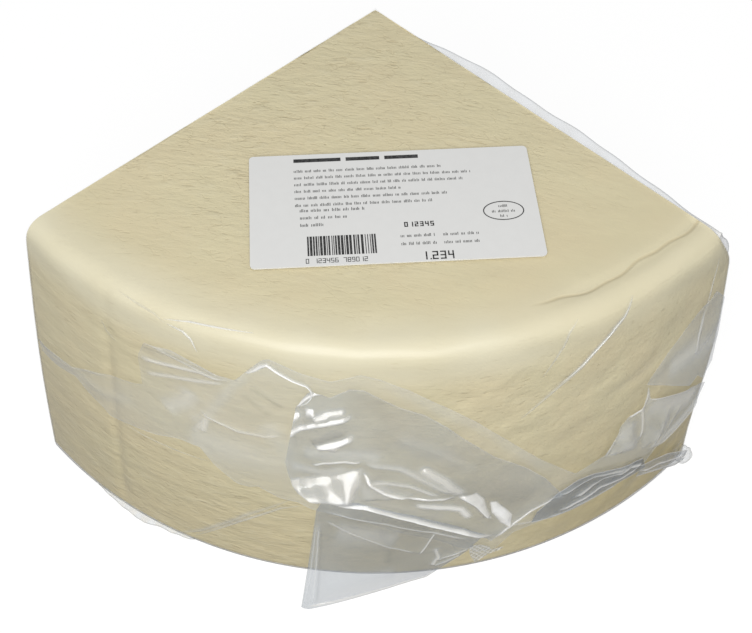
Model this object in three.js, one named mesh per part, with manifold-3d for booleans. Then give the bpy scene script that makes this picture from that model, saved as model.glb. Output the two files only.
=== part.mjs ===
// An eighth of a wheel of hard sheep's cheese, sealed tightly in a clear bag.
//
// The wheel was cut in quarters and each quarter cut again at mid-height, so the piece
// has a rind top, a rind side that widens down to the wheel's middle, two upright cut
// faces that meet at the wheel's axis (the apex) and a flat cut bottom. The slack end
// of the bag is folded over the curved side and hangs down in front in one corner.
//
// Units are millimetres, +Z is up and the curved side faces -Y. Angles go round the
// apex from the middle of the curved side, in degrees, positive towards +X.

import * as THREE from 'three';
import { mergeVertices } from 'three/addons/utils/BufferGeometryUtils.js';
import Module from 'manifold-3d';

const wasm = await Module();
wasm.setup();

// Cheese
const APEX_X = -1.25; // the apex, seen from the middle of the whole
const APEX_Y = 98.2;
const HALF_SWEEP = 46.25; // each cut face, from the middle of the curved side
const HEIGHT = 126.7;
const BASE_RADIUS = 182; // apex to the side at the cut bottom
const SHOULDER_RADIUS = 164; // apex to the side where the shoulder starts
const SIDE_BULGE = 1.2; // the side's curve out past a straight taper
const SHOULDER_SIZE = 9; // height and width of the rounded shoulder
const SIDE_TOP = HEIGHT - SHOULDER_SIZE;
const SHOULDER_POWER = 2.4; // 2 is a quarter circle, more is squarer
const BASE_BEVEL = 1.2;
const PUSH_SIZE = 8.3; // how far the right corner is pressed out past its cut plane
const PUSH_FOOT = 12; // height where the push starts
const PUSH_FULL = 85; // height where it is full
const APEX_SHARE = 0.006; // blunt tip of the wedge, as a share of its radius
const CUT_EDGE_DROP = 0.3; // the cut faces stop this far under the top
const TOP_CENTRE = 95; // from the apex to the point that the top's rings close on

// Marks left by the mould and the cloth
const SEAM_ANGLE = -32.5; // upright groove on the side
const SEAM_DEPTH = 1.1;
const SEAM_WIDTH = 2.2;
const LIP_RADIUS = 152; // the crease inside the raised rim, on the right only
const LIP_START = 19;
const LIP_DEPTH = 1.1;
const LIP_WIDTH = 2.5;
const SIDE_DENT = 0.5;
const FOOT_CALM = 14; // the side's dents fade out over this height above the cut bottom
const TOP_DENT = 0.2;
const CUT_DENT = 0.4;

// Loose end of the bag: [angle, height] along its upper and lower edge
const TAIL_UPPER_EDGE = [
  [-44.5, 75], [-37, 78], [-27, 90], [-15.6, 105], [-11.7, 118], [-6.8, 112], [-1.2, 117],
  [4, 111], [9, 100], [14, 87], [20, 67], [25, 50], [29, 52], [34, 78], [38, 81], [46, 66],
];
const TAIL_LOWER_EDGE = [
  [-44.5, 70], [-37, 67], [-31, 63], [-18, 61], [-13, 57], [-9.8, 52], [-7.8, 39], [-7, 20],
  [-6.3, 0.6], [0, 0.6], [7.2, 0.6], [11.5, 14.2], [13.2, 8], [16.5, 14], [17.4, 26], [23, 24],
  [30, 28], [34, 26], [40, 15], [43.5, 7], [46, 5],
];
const TAIL_STEP = 2.2; // widest column of the sheet, in degrees
const TAIL_ROWS = 9;
const FILM_LAYER = 1.1; // the folded layers together, drawn thick enough to be a solid
const FILM_SINK = 1.6; // how deep the inner face lies in the cheese where the tail is flat
const CORNER_LIFT = 14; // how far the hanging corner stands out at its lower left tip
const CORNER_TOP = 44; // height where it starts to stand out
const CORNER_TIP = -6.4; // angle of the tip
const CORNER_SPREAD = 14; // from the tip to where it meets the side again

// Ridges of the loose end: [angle, height] from and to, width and height of the fold
const TAIL_FOLDS = [
  { from: [-11.7, 116], to: [-2, 108], width: 3.5, rise: 2.2 },
  { from: [-5.6, 50], to: [14.5, 23], width: 3.5, rise: 3.2 },
  { from: [-12.5, 86], to: [-1, 70], width: 5, rise: 1.8 },
  { from: [20, 45], to: [42, 14], width: 5, rise: 2.4 },
  { from: [31, 64], to: [27, 36], width: 4, rise: 1.6 },
  { from: [-27, 84], to: [-15.6, 101], width: 4, rise: 1 },
];

// Seam of the bag behind the right cut face, with the web it makes at the corner
const FIN_DROP = 3.4; // below the top
const FIN_WIDTH = 6.2;
const WEB_WIDTH = 2.6;
const WEB_BOTTOM = 92;
const FIN_THICKNESS = 1.2;

// Film pressed out at the foot on the left, and the twisted end at the right corner
const FRILL_START = -37;
const FRILL_END = -22;
const FRILL_WIDTH = 2.8;
const FRILL_HEIGHT = 2.3;
const NUB_ANGLE = 45.2;
const NUB_HEIGHT = 5;
const NUB_REACH = 1.8; // its middle, out from the side
const NUB_SIZE = [4.2, 3.6, 3.6];
const NUB_TILT = 18;

// Label
const LABEL_WIDTH = 98;
const LABEL_DEPTH = 49.6;
const LABEL_CORNER = 1.6;
const LABEL_THICKNESS = 0.5;
const LABEL_GAP = 0.3;
const LABEL_PLACE = [6.9, -101.6]; // its middle, from the apex
const LABEL_TURN = 4.4;

const radians = THREE.MathUtils.degToRad;
const { clamp, lerp, smoothstep } = THREE.MathUtils;

function around(angle, radius, height) {
  const turn = radians(angle);
  return new THREE.Vector3(
    APEX_X + radius * Math.sin(turn),
    APEX_Y - radius * Math.cos(turn),
    height,
  );
}

// Straight out of the side at an angle.
function outOfSide(angle) {
  const turn = radians(angle);
  return new THREE.Vector3(Math.sin(turn), -Math.cos(turn), 0);
}

// Straight out of a cut face: the left one is -1, the right one 1.
function outOfCut(cut) {
  const turn = radians(HALF_SWEEP);
  return new THREE.Vector3(cut * Math.cos(turn), Math.sin(turn), 0);
}

function hump(distance, width) {
  return Math.exp(-((distance / width) ** 2));
}

// Crossed waves from -1 to 1, uneven enough to pass for pressed curd.
function lumps(along, across) {
  const swirl = 1.7 * Math.sin(across / 17 + 0.6) + 1.1 * Math.sin(along / 23);
  const wide = Math.sin(along / 8.3 + swirl) * Math.cos(across / 6.1 - 0.7 * swirl);
  const fine = Math.sin(along / 4.7 - across / 9.2 + swirl);
  return 0.65 * wide + 0.35 * fine;
}

// Radius of the side under the shoulder.
function sideRadius(height) {
  const rise = clamp(height / SIDE_TOP, 0, 1);
  return lerp(BASE_RADIUS, SHOULDER_RADIUS, rise) + SIDE_BULGE * Math.sin(Math.PI * rise);
}

function sideDent(angle, height) {
  const along = radians(angle) * BASE_RADIUS;
  const seam = SEAM_DEPTH * hump(along - radians(SEAM_ANGLE) * BASE_RADIUS, SEAM_WIDTH);
  const rough = lerp(0.5, 1.2, smoothstep(angle, 5, 25));
  const calm = smoothstep(height, 0, FOOT_CALM);
  return calm * (SIDE_DENT * rough * (lumps(along, 1.8 * height) - 0.4) - seam);
}

function topDent(x, y) {
  const radius = Math.hypot(x - APEX_X, y - APEX_Y);
  const angle = THREE.MathUtils.radToDeg(Math.atan2(x - APEX_X, APEX_Y - y));
  const reach = smoothstep(angle, LIP_START, LIP_START + 8);
  const lip = LIP_DEPTH * hump(radius - LIP_RADIUS, LIP_WIDTH) * reach;
  return TOP_DENT * (lumps(x, 1.6 * y) - 1) - lip;
}

// How many degrees the right corner is pressed out, less and less away from its edge.
function cornerPush(angle, share, height) {
  const up = smoothstep(height, PUSH_FOOT, PUSH_FULL) * smoothstep(HEIGHT - height, -1, 20);
  const near = smoothstep(angle, 26, HALF_SWEEP) * smoothstep(share, 0.45, 0.9);
  return THREE.MathUtils.radToDeg((PUSH_SIZE * up * near) / sideRadius(height));
}

// Outline of the cheese seen from above: out along the left cut face, round the curved
// side and back along the right one. A station has its angle, its share of the radius and
// which cut face it lies on: -1 is the left one, 1 the right one and 0 neither.
function outlineStations() {
  const stations = [{ angle: 0, share: APEX_SHARE, cut: 0 }];
  const cutSteps = 19;
  const arcSteps = 66;
  for (let i = 1; i < cutSteps; i += 1) {
    stations.push({ angle: -HALF_SWEEP, share: i / cutSteps, cut: -1 });
  }
  for (let i = 0; i <= arcSteps; i += 1) {
    stations.push({ angle: lerp(-HALF_SWEEP, HALF_SWEEP, i / arcSteps), share: 1, cut: 0 });
  }
  for (let i = cutSteps - 1; i > 0; i -= 1) {
    stations.push({ angle: HALF_SWEEP, share: i / cutSteps, cut: 1 });
  }
  return stations;
}

// Where a station lies at a height, pulled in by `inset` towards the piece's middle.
function outlinePoint(station, height, inset) {
  const { angle, share, cut } = station;
  const edge = 1 - smoothstep(Math.abs(angle), HALF_SWEEP - 2, HALF_SWEEP);
  const onCurve = cut === 0 && share === 1;
  const sunk = onCurve ? sideDent(angle, height) * lerp(0.4, 1, edge) : 0;
  const radius = share * (sideRadius(height) + sunk - inset);
  const point = around(angle + cornerPush(angle, share, height), radius, height);
  if (cut !== 0) {
    const dent = CUT_DENT * Math.sin(Math.PI * share) * (1 + lumps(radius, height + 40 * cut));
    point.addScaledVector(outOfCut(cut), -inset / 2 - dent);
  }
  return point;
}

// Closed skin through rings of equally many points, with a fan at each end.
function skin(rings, firstEnd, lastEnd) {
  const count = rings[0].length;
  const points = rings.flat();
  points.push(firstEnd, lastEnd);
  const first = points.length - 2;
  const last = points.length - 1;
  const faces = [];
  for (let r = 0; r + 1 < rings.length; r += 1) {
    for (let i = 0; i < count; i += 1) {
      const a = r * count + i;
      const b = r * count + ((i + 1) % count);
      faces.push(a, b, b + count, a, b + count, a + count);
    }
  }
  const top = (rings.length - 1) * count;
  for (let i = 0; i < count; i += 1) {
    const next = (i + 1) % count;
    faces.push(first, next, i);
    faces.push(last, top + i, top + next);
  }
  return asGeometry(points, faces);
}

function asGeometry(points, faces) {
  const geometry = new THREE.BufferGeometry();
  geometry.setFromPoints(points);
  geometry.setIndex(faces);
  return geometry;
}

// Thin closed sheet between two grids of points, both split the same way.
function sheet(outer, inner) {
  const columns = outer.length;
  const rows = outer[0].length;
  const points = [...outer.flat(), ...inner.flat()];
  const back = columns * rows;
  const faces = [];
  for (let c = 0; c + 1 < columns; c += 1) {
    for (let r = 0; r + 1 < rows; r += 1) {
      const a = c * rows + r;
      const b = a + rows;
      faces.push(a, b, b + 1, a, b + 1, a + 1);
      faces.push(back + a, back + b + 1, back + b, back + a, back + a + 1, back + b + 1);
    }
  }
  const rim = [];
  for (let c = 0; c < columns; c += 1) {
    rim.push(c * rows);
  }
  for (let r = 1; r < rows; r += 1) {
    rim.push((columns - 1) * rows + r);
  }
  for (let c = columns - 2; c >= 0; c -= 1) {
    rim.push(c * rows + rows - 1);
  }
  for (let r = rows - 2; r > 0; r -= 1) {
    rim.push(r);
  }
  rim.forEach((a, i) => {
    const b = rim[(i + 1) % rim.length];
    faces.push(a, back + a, back + b, a, back + b, b);
  });
  return asGeometry(points, faces);
}

function solidOf(geometry) {
  const bare = geometry.clone();
  bare.deleteAttribute('normal');
  bare.deleteAttribute('uv');
  const merged = mergeVertices(bare, 1e-4);
  return new wasm.Manifold(new wasm.Mesh({
    numProp: 3,
    vertProperties: new Float32Array(merged.attributes.position.array),
    triVerts: new Uint32Array(merged.index.array),
  }));
}

function geometryOf(solid) {
  const mesh = solid.getMesh();
  const geometry = new THREE.BufferGeometry();
  geometry.setAttribute('position', new THREE.BufferAttribute(mesh.vertProperties, 3));
  geometry.setIndex(new THREE.BufferAttribute(mesh.triVerts, 1));
  geometry.computeVertexNormals();
  return geometry;
}

// The cheese: rings up the side, round the shoulder and in over the top.
function cheeseGeometry() {
  const stations = outlineStations();
  const ringAt = (height, inset) => stations.map((station) => outlinePoint(station, height, inset));
  const rings = [ringAt(0, BASE_BEVEL), ringAt(BASE_BEVEL, 0)];
  const sideSteps = 12;
  for (let i = 1; i <= sideSteps; i += 1) {
    rings.push(ringAt(lerp(BASE_BEVEL, SIDE_TOP, i / sideSteps), 0));
  }
  const shoulderSteps = 4;
  for (let i = 1; i <= shoulderSteps; i += 1) {
    const turn = (Math.PI / 2) * (i / shoulderSteps);
    const rise = SHOULDER_SIZE * Math.sin(turn) ** (2 / SHOULDER_POWER);
    const inset = SHOULDER_SIZE * (1 - Math.cos(turn) ** (2 / SHOULDER_POWER));
    rings.push(shoulderRing(stations, SIDE_TOP + rise, inset));
  }
  const rim = rings.at(-1);
  const middle = around(0, TOP_CENTRE, HEIGHT);
  for (const share of [0.95, 0.88, 0.78, 0.66, 0.52, 0.36, 0.18]) {
    rings.push(rim.map((point) => onTop(point.clone().lerp(middle, 1 - share))));
  }
  return skin(rings, around(0, TOP_CENTRE, 0), onTop(middle));
}

// The cut faces keep their sharp upper edge, so the shoulder's inset fades out on them.
function shoulderRing(stations, height, inset) {
  return stations.map((station) => {
    const onCurve = station.cut === 0 && station.share === 1;
    const level = onCurve ? height : Math.min(height, HEIGHT - CUT_EDGE_DROP);
    return outlinePoint(station, level, onCurve ? inset : inset * station.share ** 6);
  });
}

function onTop(point) {
  point.z = HEIGHT + topDent(point.x, point.y);
  return point;
}

// Height of an edge of the loose end at an angle.
function edgeHeight(edge, angle) {
  const next = Math.max(1, edge.findIndex((point) => point[0] >= angle));
  const [fromAngle, fromHeight] = edge[next - 1];
  const [toAngle, toHeight] = edge[next];
  return lerp(fromHeight, toHeight, clamp((angle - fromAngle) / (toAngle - fromAngle), 0, 1));
}

// Angles of the sheet's columns: every corner of either edge, and even steps between.
function tailAngles() {
  const corners = [...TAIL_UPPER_EDGE, ...TAIL_LOWER_EDGE].map((point) => point[0]);
  const sorted = [...new Set(corners)].sort((a, b) => a - b);
  const angles = [sorted[0]];
  for (let i = 1; i < sorted.length; i += 1) {
    const steps = Math.ceil((sorted[i] - sorted[i - 1]) / TAIL_STEP);
    for (let s = 1; s <= steps; s += 1) {
      angles.push(lerp(sorted[i - 1], sorted[i], s / steps));
    }
  }
  return angles;
}

// Rise of one fold at a place on the side, tapering at both ends.
function foldRise(fold, angle, height) {
  const place = new THREE.Vector2(radians(angle) * BASE_RADIUS, height);
  const start = new THREE.Vector2(radians(fold.from[0]) * BASE_RADIUS, fold.from[1]);
  const end = new THREE.Vector2(radians(fold.to[0]) * BASE_RADIUS, fold.to[1]);
  const run = end.clone().sub(start);
  const along = clamp(place.clone().sub(start).dot(run) / run.lengthSq(), 0, 1);
  const off = place.distanceTo(start.addScaledVector(run, along));
  return fold.rise * hump(off, fold.width);
}

function cornerLift(angle, height) {
  const down = clamp((CORNER_TOP - height) / CORNER_TOP, 0, 1);
  const near = clamp(1 - (angle - CORNER_TIP) / CORNER_SPREAD, 0, 1);
  return CORNER_LIFT * down ** 1.4 * near ** 1.3;
}

// The loose end of the bag, lying on the side, with its hanging corner standing out.
function tailGeometry() {
  const outer = [];
  const inner = [];
  for (const angle of tailAngles()) {
    const low = edgeHeight(TAIL_LOWER_EDGE, angle);
    const high = edgeHeight(TAIL_UPPER_EDGE, angle);
    const outerColumn = [];
    const innerColumn = [];
    for (let r = 0; r <= TAIL_ROWS; r += 1) {
      const height = lerp(low, high, r / TAIL_ROWS);
      const lift = cornerLift(angle, height);
      const rise = TAIL_FOLDS.reduce((sum, fold) => sum + foldRise(fold, angle, height), 0);
      const face = FILM_LAYER + lift + rise * (1 - smoothstep(lift, 0, 3));
      const sunk = lerp(-FILM_SINK, face - FILM_LAYER, smoothstep(lift, 0.5, 4));
      outerColumn.push(around(angle, sideRadius(height) + face, height));
      innerColumn.push(around(angle, sideRadius(height) + sunk, height));
    }
    outer.push(outerColumn);
    inner.push(innerColumn);
  }
  return sheet(outer, inner);
}

function centre(points) {
  const sum = points.reduce((total, point) => total.add(point), new THREE.Vector3());
  return sum.divideScalar(points.length);
}

// Ribbon that stands out of the cheese: at each place, how far it reaches and which way.
function ribbonGeometry(places, thickness) {
  const rings = places.map(({ root, out, side, width }) => {
    const half = side.clone().multiplyScalar(thickness / 2);
    const tip = root.clone().addScaledVector(out, width);
    const foot = root.clone().addScaledVector(out, -FILM_SINK - 1);
    return [
      foot.clone().sub(half), tip.clone().sub(half), tip.clone().add(half), foot.clone().add(half),
    ];
  });
  return skin(rings, centre(rings[0]), centre(rings.at(-1)));
}

// Seam of the bag: along the right cut face under its upper edge, then down the corner.
function finGeometry() {
  const steps = 22;
  const out = outOfCut(1);
  const places = [];
  for (let i = 0; i <= steps; i += 1) {
    const share = lerp(0.06, 0.95, i / steps);
    const drop = FIN_DROP + 0.8 * Math.sin(i * 0.9);
    const taper = smoothstep(i, -1, 7) * (1 - 0.75 * smoothstep(i, 11, steps));
    places.push({
      root: around(HALF_SWEEP, share * SHOULDER_RADIUS, HEIGHT - drop),
      out,
      side: new THREE.Vector3(0, 0, 1),
      width: FIN_WIDTH * taper + 0.4 * Math.sin(i * 1.3),
    });
  }
  return ribbonGeometry(places, FIN_THICKNESS);
}

function webGeometry() {
  const steps = 12;
  const places = [];
  for (let i = 0; i <= steps; i += 1) {
    const height = lerp(WEB_BOTTOM, HEIGHT - FIN_DROP, i / steps);
    const bulge = smoothstep(i, 0, 8) * (1 - 0.55 * smoothstep(i, 9, steps));
    places.push({
      root: around(HALF_SWEEP + cornerPush(HALF_SWEEP, 1, height), sideRadius(height) - 3, height),
      out: outOfCut(1),
      side: outOfSide(HALF_SWEEP),
      width: 1 + WEB_WIDTH * bulge,
    });
  }
  return ribbonGeometry(places, FIN_THICKNESS);
}

function frillGeometry() {
  const steps = 14;
  const places = [];
  for (let i = 0; i <= steps; i += 1) {
    const angle = lerp(FRILL_START, FRILL_END, i / steps);
    places.push({
      root: around(angle, BASE_RADIUS, FRILL_HEIGHT + 0.25 * Math.sin(1.1 * i)),
      out: outOfSide(angle),
      side: new THREE.Vector3(0, 0, 1),
      width: 0.4 + FRILL_WIDTH * Math.sin((Math.PI * i) / steps) ** 0.8,
    });
  }
  return ribbonGeometry(places, FIN_THICKNESS);
}

function nubGeometry() {
  const nub = new THREE.SphereGeometry(1, 14, 8);
  nub.scale(...NUB_SIZE);
  nub.rotateY(radians(NUB_TILT));
  nub.rotateZ(radians(NUB_ANGLE));
  const place = around(NUB_ANGLE, sideRadius(NUB_HEIGHT) + NUB_REACH, NUB_HEIGHT);
  nub.translate(place.x, place.y, place.z);
  return nub;
}

function bagMesh() {
  let whole = solidOf(cheeseGeometry());
  const extras = [tailGeometry(), finGeometry(), webGeometry(), frillGeometry(), nubGeometry()];
  for (const extra of extras) {
    whole = whole.add(solidOf(extra));
  }
  const film = new THREE.MeshStandardMaterial({ color: '#cdc49f', roughness: 0.35, metalness: 0 });
  const mesh = new THREE.Mesh(geometryOf(whole), film);
  mesh.name = 'bag';
  return mesh;
}

function labelShape() {
  const x = LABEL_WIDTH / 2 - LABEL_CORNER;
  const y = LABEL_DEPTH / 2 - LABEL_CORNER;
  const shape = new THREE.Shape();
  shape.absarc(x, y, LABEL_CORNER, 0, Math.PI / 2);
  shape.absarc(-x, y, LABEL_CORNER, Math.PI / 2, Math.PI);
  shape.absarc(-x, -y, LABEL_CORNER, Math.PI, 1.5 * Math.PI);
  shape.absarc(x, -y, LABEL_CORNER, 1.5 * Math.PI, 2 * Math.PI);
  return shape;
}

function labelMesh() {
  const plate = new THREE.ExtrudeGeometry(labelShape(), {
    depth: LABEL_THICKNESS, bevelEnabled: false, curveSegments: 5,
  });
  const paper = new THREE.MeshStandardMaterial({ color: '#dededc', roughness: 0.5, metalness: 0 });
  const mesh = new THREE.Mesh(plate, paper);
  mesh.name = 'label';
  mesh.position.set(APEX_X + LABEL_PLACE[0], APEX_Y + LABEL_PLACE[1], HEIGHT + LABEL_GAP);
  mesh.rotation.z = radians(LABEL_TURN);
  return mesh;
}

const cheese = new THREE.Group();
cheese.add(bagMesh(), labelMesh());

export default cheese;
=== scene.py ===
"""An eighth of a wheel of hard sheep's cheese, sealed in a clear bag with a label on top."""

import math
import random

import bpy
import numpy as np
from mathutils import Matrix, Vector, noise


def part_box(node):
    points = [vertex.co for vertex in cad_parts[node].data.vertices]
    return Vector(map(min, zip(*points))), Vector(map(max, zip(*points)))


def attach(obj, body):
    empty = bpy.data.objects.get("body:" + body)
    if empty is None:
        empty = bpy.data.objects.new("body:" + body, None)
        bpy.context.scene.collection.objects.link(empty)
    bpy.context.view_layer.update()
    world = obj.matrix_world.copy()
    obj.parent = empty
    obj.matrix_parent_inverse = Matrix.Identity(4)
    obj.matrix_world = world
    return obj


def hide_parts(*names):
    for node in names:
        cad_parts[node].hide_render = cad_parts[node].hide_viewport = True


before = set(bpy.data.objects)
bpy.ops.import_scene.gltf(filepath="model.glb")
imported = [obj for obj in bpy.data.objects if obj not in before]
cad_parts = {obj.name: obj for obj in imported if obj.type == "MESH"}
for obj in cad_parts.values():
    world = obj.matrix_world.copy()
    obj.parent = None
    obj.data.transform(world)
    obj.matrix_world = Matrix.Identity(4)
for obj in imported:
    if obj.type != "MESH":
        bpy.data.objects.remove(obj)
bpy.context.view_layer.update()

bl_info = {
    "name": "Cheese in a Clear Bag",
    "version": (1, 0, 0),
    "blender": (4, 5, 0),
    "location": "3D View > Sidebar > Cheese",
    "description": "Builds a wedge of hard cheese, its sealed film and its label",
    "category": "Object",
}

MM = 0.001
BODY = "root"
SHARP_ANGLE = 50

# The cheese, in millimetres; angles go round the apex from the middle of the front
APEX = (-1.25, 98.2)
HALF_SWEEP = 46.25
HEIGHT = 126.7
BASE_RADIUS = 182.0
SHOULDER_RADIUS = 164.0
SIDE_BULGE = 1.2
SHOULDER_SIZE = 9.0
SHOULDER_POWER = 2.4
SIDE_TOP = HEIGHT - SHOULDER_SIZE
SHOULDER_RUN = 14.5
TAPER_END = 5.0
BASE_BEVEL = 1.2
PUSH_SIZE = 8.3
PUSH_FOOT = 12.0
PUSH_FULL = 85.0
SEAM_ANGLE = -32.5
SEAM_DEPTH = 0.8
SEAM_WIDTH = 2.2
LIP_RADIUS = 152.0
LIP_START = 19.0
LIP_DEPTH = 0.6
LIP_WIDTH = 2.0
FOOT_CALM = 14.0
CHEESE_INSET = -0.3
WEDGE_ACROSS = 13
WEDGE_UP = 10
WEDGE_STEPS = 24

# Film; the side is unrolled at one radius to lay it out
STRIP_RADIUS = 176.0
FILM_THICKNESS = 0.12
TIGHT_OFFSET = 0.15
CREASE_OFFSET = 0.75
CURL_OFFSET = 2.9
SEAL_OFFSET = 1.6
TAIL_OFFSET = 1.2
CORNER_OFFSET = 1.8
FOLD_OFFSET = 2.3
GATHER_OFFSET = 1.8
WRAP_OFFSET = 1.0
STRIP_OFFSET = 3.0
CORNER_LIFT = 14.0
CORNER_TOP = 44.0
CORNER_MIDDLE = -6.4
CORNER_SPREAD = 14.0

# The loose end of the bag, lying on the side. A rib runs from its lower edge to its upper
# edge: (angle, height, angle, height)
TAIL_RIBS = (
    (-44.5, 68, -45.2, 73), (-41.5, 68, -41, 75), (-38, 70.8, -38.4, 75.7),
    (-36.1, 66.8, -35.7, 80.3), (-33.7, 63.5, -32, 85), (-32.7, 61, -28.7, 87.5),
    (-26, 64.5, -27.3, 89.4), (-25.2, 65.5, -27.7, 103.4), (-23.5, 67.5, -26.6, 112),
    (-22.6, 68.1, -23.2, 113.6), (-20, 68.4, -19.4, 111.5), (-18.3, 60.5, -15.4, 108.8),
    (-15.6, 53, -13.3, 116.5), (-14.1, 52.8, -12.2, 120.5), (-13, 54.5, -11.4, 122),
    (-10.5, 50, -8, 117.6), (-8.2, 49, -4.5, 115), (-6.8, 46, -1.2, 119), (0, 40, 1, 117),
    (8, 26, 4.2, 112), (13.5, 12, 9, 101), (15.8, 12, 12, 93), (17.8, 20, 16, 79.5),
    (21.8, 22.4, 20.5, 63), (24.5, 21.5, 25.5, 45.5), (28.5, 22.9, 29.4, 48.5),
    (31, 25, 31.4, 61.8), (33.2, 23.5, 32.6, 65.5), (34.6, 23, 34.5, 66.5),
    (35.5, 23, 35.1, 76.9), (36.4, 23.2, 35.6, 69), (38.5, 30.7, 41.3, 58.7),
    (41.2, 32.2, 44, 54), (44.6, 35.9, 46.1, 50), (46, 40.5, 47.3, 47),
)
TAIL_CREASES = (
    # points, width of the fold, its rise, width of the stroke, whitening with a painted highlight above
    # 0, darkening with painted shade below 0
    (((-27.5, 103.8), (-24, 105.8), (-19.5, 108.8), (-16.1, 108.4)), 1.6, 0.8, 0.7, 0.32),
    (((-26.9, 96.8), (-23, 101), (-19.8, 103.5), (-16.2, 107)), 1.8, 0.6, 0.8, 0.2),
    (((-27.4, 109.5), (-23.4, 112), (-19.4, 110.8), (-15.6, 108.6)), 1.5, 0.6, 0.6, -0.5),
    (((-27.6, 113), (-25, 112.5), (-20, 110), (-15.4, 107.8)), 1.5, 0.6, 0.5, 0.18),
    (((-19.8, 90.2), (-17.6, 86.7), (-15.2, 84.3), (-12.1, 84.6), (-9.6, 87)), 1.2, 0.8, 0.4, 0.28),
    (((-21.5, 80.6), (-18.8, 88), (-15.6, 106), (-13.3, 114)), 3, 0.8, 2.5, 0.07),
    (((-13.7, 108.2), (-11, 103), (-9.6, 100)), 1.5, 0.9, 0.7, -0.6),
    (((-14.6, 104), (-12.4, 98), (-11, 95)), 1.5, 0.7, 1.2, -0.35),
    (((-45, 73), (-41, 74.6), (-38.4, 75.2), (-35.7, 79.8), (-32, 84.4)), 1.2, 0.5, 0.5, 0.08),
    (((-44, 70), (-38, 74), (-33, 72), (-28, 80)), 3, 0.5, 3.5, 0.05),
    (((35.4, 69), (41.3, 58.7), (43.7, 54)), 1.4, 0.6, 0.35, 0.35),
    (((46.1, 41), (44.6, 36.5), (41.2, 33.4), (38.5, 31.6)), 1.6, 0.8, 0.5, 0.4),
    (((46.2, 44), (44.8, 39.5), (42, 36.5), (39, 35), (36.4, 34.4)), 1.6, 0.5, 2.2, 0.13),
    (((35.1, 76), (35, 71), (34.5, 66), (35, 52), (34.7, 45.4)), 1.2, 0.7, 0.45, 0.3),
    (((34.4, 66.2), (33.6, 65.4), (32.6, 65.2)), 1.0, 0.4, 0.5, 0.75),
    (((33.4, 63), (33.6, 54), (33.9, 44)), 1.5, 0.4, 1.5, -0.7),
    (((39.5, 56), (38.4, 46), (37.2, 33)), 2.2, 0.9, 0.7, 0.16),
    (((42, 50), (40.2, 42), (37.8, 33)), 2.0, 0.8, 0.7, 0.12),
    (((31.2, 61), (30.2, 53), (29.5, 47)), 1.6, 0.6, 0.6, 0.15),
    (((15.8, 20.6), (17.8, 25.6), (21.8, 22.8), (24.5, 21.8)), 1.2, 0.3, 0.4, 0.2),
    (((-24.5, 82), (-21.5, 91), (-20.6, 98)), 4, 0.3, 4, 0.13),
    (((-19.5, 78), (-18.8, 88)), 1.5, 0.6, 1.3, 0.22),
    (((-22, 74), (-17, 71), (-12, 70), (-8, 72)), 9, 0.6, 9, 0.08),
    (((-12, 92), (-10, 80), (-9.5, 68)), 4, 0.4, 5, 0.08),
    (((-18, 100), (-14, 94), (-12, 88)), 6, 0.4, 4, -0.2),
    (((35.5, 66), (38, 60), (42, 52), (45.5, 46)), 5, 0.5, 6, 0.16),
    (((33, 62), (32.6, 52), (32, 44)), 3, 0.4, 3, 0.1),
    (((0.5, 117), (5, 108), (12, 91), (18, 70), (23, 50)), 4, 0.3, 2.6, 0.06),
    (((-3, 112), (0.5, 106), (2, 96)), 4, 0.4, 2.5, -0.2),
)
TAIL_PATCHES = (
    # corners, rise at the lower side, whitening with a painted highlight, softness of its edge
    (((-20.9, 77.2), (-18.9, 88), (-18.3, 86), (-19.6, 81), (-20.1, 75.4)), 0.8, 0.25, 1.0),
    (((32.3, 64.5), (33.2, 58), (34.4, 48.6), (34.8, 41), (30.1, 46.8), (31, 57)), 0.8, 0.14, 0.8),
    (((35.2, 77), (34.9, 62.5), (35.3, 49.5), (35.6, 38.5), (38.1, 37.5), (39.7, 41), (40, 47.4),
      (38.5, 59.5), (36.2, 67.5)), 0.8, 0.11, 1.5),
)
FOLD_RIBS = (
    (-9.6, 74, -8.3, 103), (-9.2, 65.4, -7.3, 109), (-8.5, 61.2, -6.6, 111.5),
    (-6.5, 57.4, -5.5, 110.9), (-5.6, 54.8, -4.5, 109), (-2.3, 53.6, -2.3, 113.5),
    (1.1, 49.6, -0.8, 113.2), (6, 42.5, 3.1, 105.2), (9.8, 36, 6, 100.8), (12.5, 29.5, 8.6, 93.6),
    (14.4, 22.5, 10.4, 87.1), (14.9, 19.6, 12.3, 80.8), (16.6, 26, 14.4, 73.4),
    (18, 30, 16.5, 68), (19.7, 34, 18.7, 61.7), (21.2, 36, 21.1, 52.2), (22.6, 37, 22.6, 43.5),
    (23.9, 35.4, 23.9, 36.8),
)
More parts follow.
